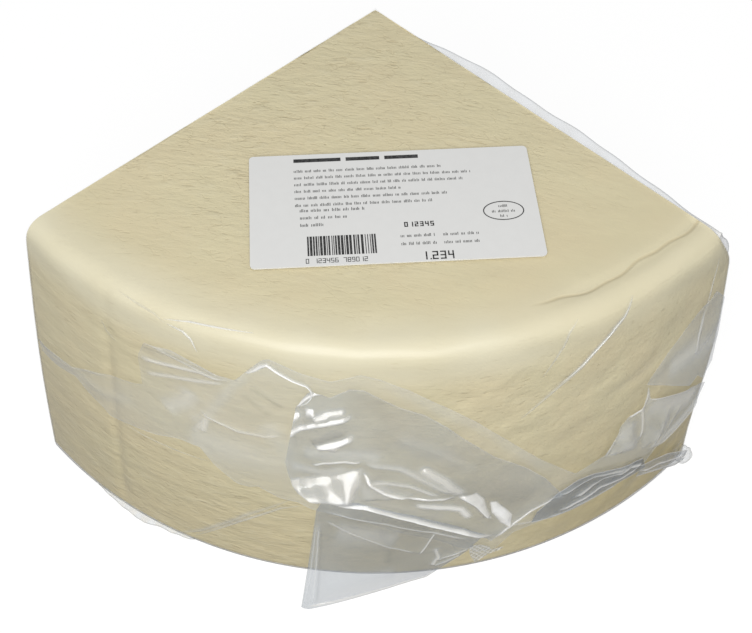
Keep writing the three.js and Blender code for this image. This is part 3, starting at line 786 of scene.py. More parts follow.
def grain_places(points, angle, radius, height, side, top):
    """Where the pattern of the rind lies: combed over the top, in rows round the side.

    It turns gently to the right of the top, and its rows break into grains to the right.
    """
    x, y, _ = points.T
    lean = y + 0.1 * x + 0.0013 * np.maximum(x, 0) ** 2
    over = np.stack([0.11 * x, 0.3 * lean, 0 * x], axis=1)
    along = np.radians(angle) * radius
    bend = 0.0008 * np.maximum(along + 10, 0) ** 2
    rows = np.stack([0.1 * along + bend, 0.3 * height, 0 * x], axis=1)
    cut = np.stack([0.2 * radius, 0.2 * height, 0 * x + 5], axis=1)
    round_side = np.where(np.abs(side)[:, None] > 0.5, cut, rows)
    return np.where(top[:, None] > 0.5, over, round_side)


def film_relief(points, angle, radius, height, normals, side):
    """Relief of the tight film: it bridges the small dents and follows the large ones."""
    on_top = smooth(normals[:, 2], 0.6, 0.95)
    on_cut = np.abs(side)
    on_side = (1 - on_top) * (1 - on_cut)
    side_part = side_dent(angle, height) + 0.35
    top_part = top_dent(points[:, 0], points[:, 1]) + 0.2
    return on_side * side_part + on_top * top_part * (1 - on_cut) - 0.25 * on_cut


def film_on_side(ribs, size, offset, creases, patches, crumple, haze_and_reflection, dark, edge_glint):
    """A sheet of film on the side, with whitening and painted highlights along its folds and hem, and
    painted shade beside some folds.

    crumple is the depth and the size of its facets. haze_and_reflection lists angles and the
    share of the light that one face scatters there, haze with a painted bluish reflection, and
    dark is how much of the film's tint it adds.
    """
    sheet, angle, height, edge = rib_sheet(ribs, *size)
    places = strip(angle, height)
    rise, glint, shade = creased(places, creases)
    leaning, shining = patched(places, patches)
    depth, facet = crumple
    facets = folds(places, facet, 3) * depth
    calm = smooth(edge, 0, 4)
    lift = corner_lift(angle, height)
    radius = side_radius(height) + offset + lift + rise + leaning + facets * calm
    points = around(angle, radius, np.maximum(height, 0.3))
    set_coordinates(sheet, points * MM)
    # Painted highlight along the edges of the sheet
    hem = edge_glint * hump(edge, 0.35)
    # Painted sheen, uneven over the facets
    mottle = 0.03 * folds(places, 1.6 * facet, 8) * calm
    paint(sheet, "glint", np.maximum(np.maximum(glint, shining), hem) + mottle)
    # The haze amount here includes a painted bluish reflection
    clouding_and_reflection = np.interp(angle, *np.transpose(haze_and_reflection))
    paint(sheet, "haze_and_reflection", clouding_and_reflection * (1 + 0.45 * folds(places, 2.2 * facet, 21)))
    # The film's tint, with painted shade along some creases
    paint(sheet, "shade", dark + shade)
    thicken(sheet, FILM_THICKNESS)
    smooth_shade(sheet)
    return sheet


def ribbon(places, widths, rise, shine, lay):
    """A raised crease along places of the unrolled side, fading at its edges.

    lay puts angles, places up the side and lifts where they belong round the cheese.
    """
    sheet, along, across = unit_grid(90, 8)
    lengths = np.hypot(*np.diff(places, axis=0).T)
    passed = np.concatenate([[0], np.cumsum(lengths)])

    def at(shift):
        reached = along * passed[-1] + shift
        return np.stack([np.interp(reached, passed, line) for line in places.T], axis=1)

    heading = at(1.2) - at(-1.2)
    heading /= np.hypot(*heading.T)[:, None]
    off = (across - 0.5) * 2
    reach = np.interp(along * passed[-1], passed, widths) / 2
    place = at(0) + np.stack([-heading[:, 1], heading[:, 0]], axis=1) * (off * reach)[:, None]
    ends = np.sin(math.pi * np.clip(along, 0, 1)) ** 0.4
    lift = rise * (1 - off ** 2) * ends
    angle = np.degrees(place[:, 0] / STRIP_RADIUS)
    set_coordinates(sheet, lay(angle, place[:, 1], lift) * MM)
    fade = (1 - np.abs(off)) ** 0.7 * ends
    paint(sheet, "haze_and_reflection", fade * 0.03)
    paint(sheet, "shade", fade * 0.1)
    paint(sheet, "glint", shine * ends * hump(off, 0.45))
    return sheet


def skin_ribbon(points, width, rise, shine):
    """A crease of the tight film along a line of (angle, run)."""

    def lay(angle, run, lift):
        _, height = skin_place(run)
        dent = np.where(run < SIDE_TOP, side_dent(angle, height), 0)
        return on_skin(angle, run, CREASE_OFFSET + dent + lift)

    places = strip(*np.transpose(points))
    taper = 0.35 + 0.65 * np.sin(math.pi * np.linspace(0, 1, len(points))) ** 0.5
    return ribbon(places, width * taper, rise, shine, lay)


def rolled_edge(points, offset, rise, shine):
    """The edge of a loose sheet rolled over, along (angle, height, width)."""

    def lay(angle, height, lift):
        return around(angle, side_radius(height) + offset + lift, height)

    angle, height, width = np.transpose(points)
    return ribbon(strip(angle, height), width, rise, shine, lay)


# ---- material helpers ----

def new_material(name):
    material = bpy.data.materials.new(name)
    material.use_nodes = True
    tree = material.node_tree
    tree.nodes.clear()
    output = tree.nodes.new("ShaderNodeOutputMaterial")
    return material, tree, output


def shader_node(tree, kind, **values):
    made = tree.nodes.new(kind)
    for key, value in values.items():
        made.inputs[key.replace("_", " ")].default_value = value
    return made


def feed(tree, socket, value):
    if isinstance(value, tuple):
        socket.default_value = (*value, 1)
    elif isinstance(value, (int, float)):
        socket.default_value = value
    else:
        tree.links.new(value, socket)


def math_node(tree, operation, first, second=0.0, clamp=False):
    made = tree.nodes.new("ShaderNodeMath")
    made.operation = operation
    made.use_clamp = clamp
    feed(tree, made.inputs[0], first)
    feed(tree, made.inputs[1], second)
    return made.outputs[0]


def ramp(tree, factor, low, high):
    made = tree.nodes.new("ShaderNodeMapRange")
    made.interpolation_type = "SMOOTHSTEP"
    made.inputs["From Min"].default_value = low
    made.inputs["From Max"].default_value = high
    feed(tree, made.inputs["Value"], factor)
    return made.outputs["Result"]


def mix_colour(tree, factor, first, second):
    made = tree.nodes.new("ShaderNodeMix")
    made.data_type = "RGBA"
    for index, value in ((0, factor), (6, first), (7, second)):
        feed(tree, made.inputs[index], value)
    return made.outputs[2]


def attribute(tree, name, output="Fac"):
    made = tree.nodes.new("ShaderNodeAttribute")
    made.attribute_name = name
    return made.outputs[output]


def mapped(tree, vector, scale):
    mapping = tree.nodes.new("ShaderNodeMapping")
    mapping.inputs["Scale"].default_value = scale
    tree.links.new(vector, mapping.inputs["Vector"])
    return mapping.outputs["Vector"]


def noise_texture(tree, vector, scale, detail, roughness=0.55):
    made = tree.nodes.new("ShaderNodeTexNoise")
    made.inputs["Scale"].default_value = scale
    made.inputs["Detail"].default_value = detail
    made.inputs["Roughness"].default_value = roughness
    tree.links.new(vector, made.inputs["Vector"])
    return made.outputs["Fac"]


def bump(tree, height, distance, strength):
    made = tree.nodes.new("ShaderNodeBump")
    made.inputs["Distance"].default_value = distance
    made.inputs["Strength"].default_value = strength
    tree.links.new(height, made.inputs["Height"])
    return made.outputs["Normal"]


def line_at(tree, value, level, width):
    """1 where a value is at a level, falling to 0 at a width from it."""
    away = math_node(tree, "ABSOLUTE", math_node(tree, "SUBTRACT", value, level))
    return math_node(tree, "SUBTRACT", 1.0, ramp(tree, away, 0.0, width))


def product(tree, *factors):
    total = factors[0]
    for factor in factors[1:]:
        total = math_node(tree, "MULTIPLY", total, factor)
    return total


def pits(tree, vector, share, size):
    """Small round pits in a share of the cells of a scattered pattern."""
    cells = tree.nodes.new("ShaderNodeTexVoronoi")
    cells.inputs["Scale"].default_value = 1.0
    tree.links.new(vector, cells.inputs["Vector"])
    chosen = math_node(tree, "GREATER_THAN", cells.outputs["Color"], 1 - share)
    near = math_node(tree, "SUBTRACT", 1.0, ramp(tree, cells.outputs["Distance"], 0.3 * size, size))
    return product(tree, chosen, near)


def crazing(tree, vector, width):
    """Fine cracks round the cells of a scattered pattern."""
    cells = tree.nodes.new("ShaderNodeTexVoronoi")
    cells.feature = "DISTANCE_TO_EDGE"
    cells.inputs["Scale"].default_value = 1.0
    tree.links.new(vector, cells.inputs["Vector"])
    return math_node(tree, "SUBTRACT", 1.0, ramp(tree, cells.outputs["Distance"], 0.0, width))


def warped(tree, vector, scale, amount):
    """A vector shaken by noise, so that straight patterns wander."""
    shaking = tree.nodes.new("ShaderNodeTexNoise")
    shaking.inputs["Scale"].default_value = scale
    tree.links.new(vector, shaking.inputs["Vector"])
    made = tree.nodes.new("ShaderNodeVectorMath")
    made.operation = "MULTIPLY_ADD"
    tree.links.new(shaking.outputs["Color"], made.inputs[0])
    made.inputs[1].default_value = (amount, amount, amount)
    tree.links.new(vector, made.inputs[2])
    return made.outputs[0]


def curd_material(looks):
    """Pale straw curd: combed and crazed on top, in rows and grains with pits round the side."""
    material, tree, output = new_material("curd")
    link = tree.links.new
    grain_place = attribute(tree, "grain", "Vector")
    top = attribute(tree, "top")
    pale_lit = attribute(tree, "pale_lit")
    rough = attribute(tree, "rough")
    wandering = warped(tree, grain_place, 0.8, 0.5)
    strands = noise_texture(tree, wandering, 1.5, 4, 0.6)
    worn = noise_texture(tree, mapped(tree, grain_place, (0.9, 0.7, 1)), 1, 2)
    dashes = noise_texture(tree, mapped(tree, wandering, (1.3, 2.4, 1)), 1.3, 2)
    nicks = product(tree, ramp(tree, dashes, 0.6, 0.7), ramp(tree, worn, 0.35, 0.55), 0.65)
    crazed = crazing(tree, mapped(tree, wandering, (1.6, 1.0, 1)), 0.06)
    crazed = product(tree, crazed, ramp(tree, worn, 0.5, 0.6), top, 0.4)
    holes = product(tree, pits(tree, mapped(tree, wandering, (2.4, 1.5, 1)), 0.18, 0.22), 0.7)
    cracks = math_node(tree, "MAXIMUM", math_node(tree, "MAXIMUM", crazed, nicks), holes)
    lip = line_at(tree, attribute(tree, "lip"), 0.5, 0.05)
    lip = product(tree, lip, attribute(tree, "lip_there"), 0.6)
    cracks = math_node(tree, "MAXIMUM", product(tree, cracks, rough), lip)
    raised = product(tree, strands, rough, 0.55)
    height = math_node(tree, "SUBTRACT", raised, product(tree, cracks, 0.22))
    broad = noise_texture(tree, mapped(tree, grain_place, (0.25, 0.1, 0.1)), 1, 3)
    broad = ramp(tree, broad, 0.35, 0.65)
    colour = mix_colour(tree, broad, tuple(looks.curd), tuple(looks.curd_warm))
    # Darker towards the foot and to the right: rind colour with painted shade
    colour = mix_colour(tree, attribute(tree, "low"), colour, tuple(looks.curd_low_shaded))
    flakes = product(tree, ramp(tree, strands, 0.5, 0.72), rough, 0.3)
    # Paler over the shoulder: rind colour with a painted highlight; the flakes are pale curd
    colour = mix_colour(tree, math_node(tree, "MAXIMUM", pale_lit, flakes), colour, tuple(looks.curd_pale_lit))
    stained = math_node(tree, "MAXIMUM", cracks, attribute(tree, "seam"))
    colour = mix_colour(tree, product(tree, stained, 0.75), colour, tuple(looks.crack))
    shader = shader_node(tree, "ShaderNodeBsdfPrincipled", Roughness=0.6)
    shader.inputs["Specular IOR Level"].default_value = 0.3
    link(colour, shader.inputs["Base Color"])
    link(bump(tree, height, 0.0024, 0.6), shader.inputs["Normal"])
    link(shader.outputs[0], output.inputs["Surface"])
    return material


def leaning_normal(tree, amount):
    """The surface's normal leant back where the film has a painted highlight, as that of the tiny
    facets of whitened film is.
    """
    lean = tree.nodes.new("ShaderNodeVectorMath")
    lean.operation = "MULTIPLY_ADD"
    tree.links.new(amount, lean.inputs[0])
    lean.inputs[1].default_value = (0, 0, 1)
    tree.links.new(tree.nodes.new("ShaderNodeNewGeometry").outputs["Normal"], lean.inputs[2])
    unit = tree.nodes.new("ShaderNodeVectorMath")
    unit.operation = "NORMALIZE"
    tree.links.new(lean.outputs[0], unit.inputs[0])
    return unit.outputs[0]


def film_material(looks, name, haze_and_reflection, roughness, painted=False):
    """Clear film: see-through with a little haze and a painted bluish reflection, and gloss that grows
    at a slant.
    """
    material, tree, output = new_material(name)
    link = tree.links.new
    clear = shader_node(tree, "ShaderNodeBsdfTransparent", Color=(0.99, 0.99, 0.99, 1))
    milk = shader_node(tree, "ShaderNodeBsdfPrincipled", Roughness=0.35)
    milk.inputs["Base Color"].default_value = (*looks.haze_and_reflection, 1)
    shine = shader_node(tree, "ShaderNodeBsdfAnisotropic", Roughness=roughness)
    body = shader_node(tree, "ShaderNodeMixShader", Fac=haze_and_reflection)
    facing = shader_node(tree, "ShaderNodeLayerWeight", Blend=0.5)
    slant = math_node(tree, "POWER", facing.outputs["Facing"], 5)
    gloss = math_node(tree, "ADD", math_node(tree, "MULTIPLY", slant, 0.9), 0.03)
    # Painted films also read painted highlights and painted shade from their attributes
    if painted:
        # Film scatters most light onward, so what lies under it stays nearly as bright
        path = tree.nodes.new("ShaderNodeLightPath").outputs
        lighting = math_node(tree, "MAXIMUM", path["Is Shadow Ray"], path["Is Diffuse Ray"])
        seen = math_node(tree, "SUBTRACT", 1.0, product(tree, lighting, 0.8))
        # The haze attribute carries the film's haze with a painted bluish reflection
        cloud_and_reflection = attribute(tree, "haze_and_reflection")
        glint = attribute(tree, "glint")
        # The glint is a painted highlight along creases and facets, in part whitened film: it whitens
        # the milk, leans its normal to the light and adds gloss
        whitening_and_highlight = ramp(tree, glint, 0.02, 0.25)
        normal = leaning_normal(tree, math_node(tree, "MULTIPLY", whitening_and_highlight, FACET_LEAN))
        shade = product(tree, attribute(tree, "shade"), seen)
        tint = mix_colour(tree, shade, (1.0, 1.0, 1.0), tuple(looks.film_tint))
        link(tint, clear.inputs["Color"])
        milk_and_highlight_colour = mix_colour(tree, whitening_and_highlight, tuple(looks.haze_and_reflection), tuple(looks.glint))
        link(milk_and_highlight_colour, milk.inputs["Base Color"])
        milk_and_highlight = math_node(tree, "ADD", cloud_and_reflection, glint, clamp=True)
        link(product(tree, milk_and_highlight, seen), body.inputs["Fac"])
        link(normal, milk.inputs["Normal"])
        link(normal, shine.inputs["Normal"])
        there = math_node(tree, "MULTIPLY", cloud_and_reflection, 30.0, clamp=True)
        gloss = math_node(tree, "ADD", gloss, product(tree, whitening_and_highlight, 0.02))
        gloss = product(tree, gloss, there, seen)
    link(clear.outputs[0], body.inputs[1])
    link(milk.outputs[0], body.inputs[2])
    whole = tree.nodes.new("ShaderNodeMixShader")
    link(gloss, whole.inputs["Fac"])
    link(body.outputs[0], whole.inputs[1])
    link(shine.outputs[0], whole.inputs[2])
    link(whole.outputs[0], output.inputs["Surface"])
    return material


def mottle_group():
    """Soft uneven patches from 0 to 1, with a size and contrast that each material sets."""
    group = bpy.data.node_groups.get("mottle")
    if group:
        return group
    group = bpy.data.node_groups.new("mottle", "ShaderNodeTree")
    add_socket = group.interface.new_socket
    add_socket("Place", in_out="INPUT", socket_type="NodeSocketVector")
    for name in ("Scale", "Detail", "Low", "High"):
        add_socket(name, in_out="INPUT", socket_type="NodeSocketFloat")
    add_socket("Amount", in_out="OUTPUT", socket_type="NodeSocketFloat")
    given = group.nodes.new("NodeGroupInput").outputs
    patches = group.nodes.new("ShaderNodeTexNoise")
    patches.inputs["Roughness"].default_value = 0.55
    spread = group.nodes.new("ShaderNodeMapRange")
    spread.interpolation_type = "SMOOTHSTEP"
    link = group.links.new
    link(given["Place"], patches.inputs["Vector"])
    link(given["Scale"], patches.inputs["Scale"])
    link(given["Detail"], patches.inputs["Detail"])
    link(given["Low"], spread.inputs["From Min"])
    link(given["High"], spread.inputs["From Max"])
    link(patches.outputs["Fac"], spread.inputs["Value"])
    link(spread.outputs["Result"], group.nodes.new("NodeGroupOutput").inputs["Amount"])
    return group


def mottled(tree, **values):
    made = tree.nodes.new("ShaderNodeGroup")
    made.node_tree = mottle_group()
    for name, value in values.items():
        made.inputs[name].default_value = value
    place = tree.nodes.new("ShaderNodeTexCoord").outputs["Object"]
    tree.links.new(place, made.inputs["Place"])
    return made.outputs["Amount"]


def paper_material(looks):
    material, tree, output = new_material("label_paper")
    shader = shader_node(tree, "ShaderNodeBsdfPrincipled", Roughness=0.4)
    fibre = mottled(tree, Scale=260, Detail=3, Low=0.3, High=0.7)
    shade = tuple(0.985 * value for value in looks.paper)
    tree.links.new(mix_colour(tree, fibre, tuple(looks.paper), shade), shader.inputs["Base Color"])
    tree.links.new(shader.outputs[0], output.inputs["Surface"])
    return material


def ink_material(looks):
    material, tree, output = new_material("label_ink")
    shader = shader_node(tree, "ShaderNodeBsdfPrincipled", Roughness=0.5)
    patchy = mottled(tree, Scale=900, Detail=2, Low=0.35, High=0.7)
    faded = tuple(value + 0.05 for value in looks.ink)
    tree.links.new(mix_colour(tree, patchy, tuple(looks.ink), faded), shader.inputs["Base Color"])
    tree.links.new(shader.outputs[0], output.inputs["Surface"])
    return material


def loose_film(looks):
    made = bpy.data.materials.get("loose_film")
    return made or film_material(looks, "loose_film", 0.1, 0.12, painted=True)


# ---- settings ----

def colour_setting(name, description, default):
    return bpy.props.FloatVectorProperty(
        name=name, description=description, subtype="COLOR", default=default
    )


class LooksSettings(bpy.types.PropertyGroup):
    curd: colour_setting("Curd", "Pale straw of the rind", (0.748, 0.675, 0.447))
    curd_warm: colour_setting("Warm curd", "Warmer patches of the rind", (0.758, 0.67, 0.442))
    # Low curd: rind colour near the foot with painted shade, darkest to the right
    curd_low_shaded: colour_setting("Low curd", "Rind near the foot", (0.605, 0.515, 0.288))
    # Pale curd: paler rind with a painted highlight over the shoulder
    curd_pale_lit: colour_setting("Pale curd", "Smooth rind over the shoulder", (0.82, 0.765, 0.565))
    crack: colour_setting("Crack", "Floor of the cracks", (0.56, 0.46, 0.265))
    film_tint: colour_setting("Film tint", "Light that passes one face of dense film", (0.7, 0.7, 0.7))
    # Film haze colour: bluish, a painted reflection of the sky on the film's haze
    haze_and_reflection: colour_setting("Film haze", "Haze of the film", (0.72, 0.80, 0.88))
    # Film crease colour: the painted highlight of creases and bright facets, in part whitened film
    glint: colour_setting("Film crease", "Whitened creases of the film", (0.9, 0.9, 0.88))
    paper: colour_setting("Paper", "Label paper", (0.80, 0.80, 0.785))
    ink: colour_setting("Ink", "Print on the label", (0.02, 0.02, 0.02))


class StudioSettings(bpy.types.PropertyGroup):
    sky: bpy.props.FloatProperty(name="Sky", description="Strength of the even light", default=0.38)
    key_power: bpy.props.FloatProperty(
        name="Key light", description="Power of the large soft light", default=9.4, unit="POWER"
    )


# ---- operators ----

class OBJECT_OT_cheese(bpy.types.Operator):
    """Build the wedge of cheese"""

    bl_idname = "object.cheese_wedge"
    bl_label = "Cheese"

    def execute(self, context):
        wedge = unit_wedge(8)
        angle, radius, height, side = shape_wedge(wedge, curd_relief, CHEESE_INSET)
        points = coordinates(wedge)
        points[:, 2] = np.maximum(points[:, 2], 0.3 * MM)
        set_coordinates(wedge, points)
        top = smooth(vertex_normals(wedge)[:, 2], 0.5, 0.9)
        paint_vector(wedge, "grain", grain_places(points / MM, angle, radius, height, side, top))
        paint(wedge, "top", top)
        paint(wedge, "seam", 0.2 * hump(angle - SEAM_ANGLE, 0.4) * (1 - smooth(height, 85, 110)))
        wander = 0.9 * np.sin(angle / 2.6) + 0.35 * np.sin(angle / 0.9)
        paint(wedge, "lip", (radius - LIP_RADIUS + wander) / 20 + 0.5)
        paint(wedge, "lip_there", smooth(angle, LIP_START, LIP_START + 4) * top)
        right = smooth(angle, 10, 30)
        # Paler over the shoulder, less so to the right: paler rind with a painted highlight
        pale_lit = smooth(radius, 140, 158) * smooth(height, 106, 120) * (1 - 0.35 * right)
        pale_lit *= 0.86 + 0.3 * grain(points / MM, (16, 16, 8), 4.4)
        paint(wedge, "pale_lit", pale_lit)
        x, y, _ = points.T / MM
        worn = 0.75 - 0.45 * smooth(radius, 90, 150) - 0.25 * smooth(x, -10, 60)
        foot = 0.5 + 0.4 * (1 - smooth(height, 40, 70)) * (1 - smooth(np.abs(angle + 20), 10, 30))
        level = smooth(np.abs(top - 0.5), 0.15, 0.45)
        paint(wedge, "rough", (1 - 0.8 * pale_lit) * level * np.where(top > 0.5, worn, foot))
        # Darker towards the foot, most to the right, away from the light: rind colour with painted
        # shade
        low_shade = 0.3 + 0.75 * smooth(angle, 12, 36)
        paint(wedge, "low", (1 - smooth(height, 10, 90)) * low_shade * (1 - np.abs(side)))
        edit(wedge, lambda: bpy.ops.mesh.normals_make_consistent(inside=False))
        smooth_shade(wedge)
        finish_piece(wedge, "cheese", curd_material(context.scene.cheese_looks), "bag", "bag")
        return {"FINISHED"}


class OBJECT_OT_tight_film(bpy.types.Operator):
    """Build the film that is drawn tightly over the cheese"""

    bl_idname = "object.tight_film"
    bl_label = "Tight film"

    def execute(self, context):
        wedge = unit_wedge(5)
        shape_wedge(wedge, film_relief, TIGHT_OFFSET)
        edit(wedge, lambda: bpy.ops.mesh.normals_make_consistent(inside=False))
        smooth_shade(wedge)
        looks = context.scene.cheese_looks
        film = film_material(looks, "tight_film", 0.006, 0.3)
        finish_piece(wedge, "bag_film", film, "bag", "bag")
        return {"FINISHED"}


class OBJECT_OT_film_creases(bpy.types.Operator):
    """Build the creases that are drawn across the tight film"""

    bl_idname = "object.film_creases"
    bl_label = "Film creases"

    def execute(self, context):
        ribbons = [skin_ribbon(*crease) for crease in SKIN_CREASES]
        creases = join(ribbons)
        thicken(creases, FILM_THICKNESS / 2)
        smooth_shade(creases)
        film = loose_film(context.scene.cheese_looks)
        finish_piece(creases, "bag_creases", film, "bag", "bag")
        return {"FINISHED"}


class OBJECT_OT_loose_end(bpy.types.Operator):
    """Build the loose end of the bag, folded over the side, and its hanging corner"""

    bl_idname = "object.loose_end"
    bl_label = "Loose end"

    def execute(self, context):
        film = loose_film(context.scene.cheese_looks)
        for name, *sheet in SHEETS:
            finish_piece(film_on_side(*sheet), name, film, "bag", "bag")
        # The rolled edge carries a strong painted highlight
        curl = rolled_edge(CURL, CURL_OFFSET, 1.1, 0.95)
        thicken(curl, FILM_THICKNESS / 2)
        smooth_shade(curl)
        finish_piece(curl, "bag_curl", film, "bag", "bag")
        return {"FINISHED"}


class OBJECT_OT_bag_seam(bpy.types.Operator):
    """Build the seam behind the right cut face and the web that it makes at the corner"""

    bl_idname = "object.bag_seam"
    bl_label = "Bag seam"

    def execute(self, context):
        sheet, along, across = unit_grid(220, 12)
        top_share = np.clip(along / FIN_SHARE, 0, 1)
        down = np.clip((along - FIN_SHARE) / (1 - FIN_SHARE), 0, 1)
        share = 0.05 + 0.93 * top_share
        drop = FIN_DROP + 0.3 * np.sin(20 * along)
        height = HEIGHT - drop - (HEIGHT - drop - WEB_BOTTOM) * down
        radius = np.where(down > 0, side_radius(height) - 2.5, share * SHOULDER_RADIUS)
        taper = smooth(along, -0.02, 0.22) * (1 - 0.75 * smooth(along, 0.4, FIN_SHARE))
        width = FIN_WIDTH * taper + 0.2 * np.sin(31 * along)
        web = WEB_WIDTH * (1 - smooth(down, 0.3, 1)) * (0.45 + 0.55 * smooth(down, 0.02, 0.25))
        reach = np.where(down > 0, web + 0.6, width)
        turn = math.radians(HALF_SWEEP)
        out = np.array([math.cos(turn), math.sin(turn), 0])
        points = around(HALF_SWEEP + corner_push(HALF_SWEEP, share, height), radius, height)
        points += out * (reach * across - 0.3)[:, None]
        points[:, 2] += 1.6 * across * (1 - down) + 0.25 * np.sin(60 * along) * across
        set_coordinates(sheet, points * MM)
        rim = (1 - across) * reach
        inner = hump(reach * across - 0.6, 0.8)
        paint(sheet, "glint", 0.1 + 0.3 * inner + 0.06 * np.sin(90 * along) * across)
        paint(sheet, "haze_and_reflection", 0.06)
        paint(sheet, "shade", 0.16 + hump(rim, 0.3))
        thicken(sheet, FILM_THICKNESS)
        smooth_shade(sheet)
        film = loose_film(context.scene.cheese_looks)
        finish_piece(sheet, "bag_seam", film, "bag", "bag")
        return {"FINISHED"}


class OBJECT_OT_foot_film(bpy.types.Operator):
    """Build the film pressed out at the foot, the twisted end and the pressed seal"""

    bl_idname = "object.foot_film"
    bl_label = "Foot film"

    def execute(self, context):
        film = loose_film(context.scene.cheese_looks)
        finish_piece(self.frill(), "bag_frill", film, "bag", "bag")
        finish_piece(self.seal(), "bag_seal", film, "bag", "bag")
        finish_piece(self.twist(), "bag_twist", film, "bag", "bag")
        return {"FINISHED"}

    def frill(self):
        sheet, along, across = unit_grid(120, 10)
        angle = FRILL_START + (FRILL_END - FRILL_START) * along
        swell = np.interp(along, (0, 0.3, 0.55, 0.64, 0.9, 1), (0, 0.6, 1, 0.5, 0.35, 0))
        width = 1.2 + FRILL_WIDTH * swell
        height = 1.4 + 0.5 * np.sin(38 * along) * across + 0.6 * across
        set_coordinates(sheet, around(angle, BASE_RADIUS - 0.8 + width * across, height) * MM)
        rim = (1 - across) * width
        paint(sheet, "glint", 0.16 + 0.12 * np.sin(50 * along) * across)
        paint(sheet, "haze_and_reflection", 0.08)
        paint(sheet, "shade", 0.15 + 0.9 * hump(rim, 0.3))
        thicken(sheet, FILM_THICKNESS)
        smooth_shade(sheet)
        return sheet

    def seal(self):
        sheet, angle, height, edge = rib_sheet(SEAL_RIBS, 110, 90, 0.5)
        places = strip(angle, height)
        ridges = np.zeros(len(places))
        for turn in (math.radians(38), math.radians(-38)):
            wave = places @ (math.cos(turn), math.sin(turn)) * math.pi / SEAL_PITCH
            ridges = np.maximum(ridges, 1 - np.abs(np.sin(wave)) ** 0.7)
        radius = side_radius(height) + SEAL_OFFSET + 0.35 * ridges
        radius += 0.5 * corner_lift(angle, height)
        set_coordinates(sheet, around(angle, radius, height) * MM)
        paint(sheet, "glint", 0.04 + 0.36 * ridges ** 2)
        paint(sheet, "haze_and_reflection", 0.06)
        paint(sheet, "shade", 0.5 * (1 - ridges))
        thicken(sheet, FILM_THICKNESS)
        smooth_shade(sheet)
        return sheet

    def twist(self):
        deselect_all()
        bpy.ops.mesh.primitive_uv_sphere_add(segments=56, ring_count=32, radius=1)
        nub = active()
        unit = coordinates(nub)
        pleats = 1 + 0.06 * np.sin(7 * np.arctan2(unit[:, 2], unit[:, 1]) + 2 * unit[:, 0])
        shaped = unit * np.array(NUB_SIZE) * pleats[:, None]
        tilt, turn = math.radians(18), math.radians(NUB_ANGLE)
        spin = Matrix.Rotation(turn, 3, "Z") @ Matrix.Rotation(tilt, 3, "Y")
        place = around(NUB_ANGLE, side_radius(NUB_HEIGHT) + NUB_REACH, NUB_HEIGHT)
        set_coordinates(nub, (shaped @ np.array(spin).T + place) * MM)
        paint(nub, "glint", 0.1 + 0.12 * (pleats - 1) / 0.06)
        paint(nub, "haze_and_reflection", 0.08)
        paint(nub, "shade", 0.3)
        smooth_shade(nub)
        return nub


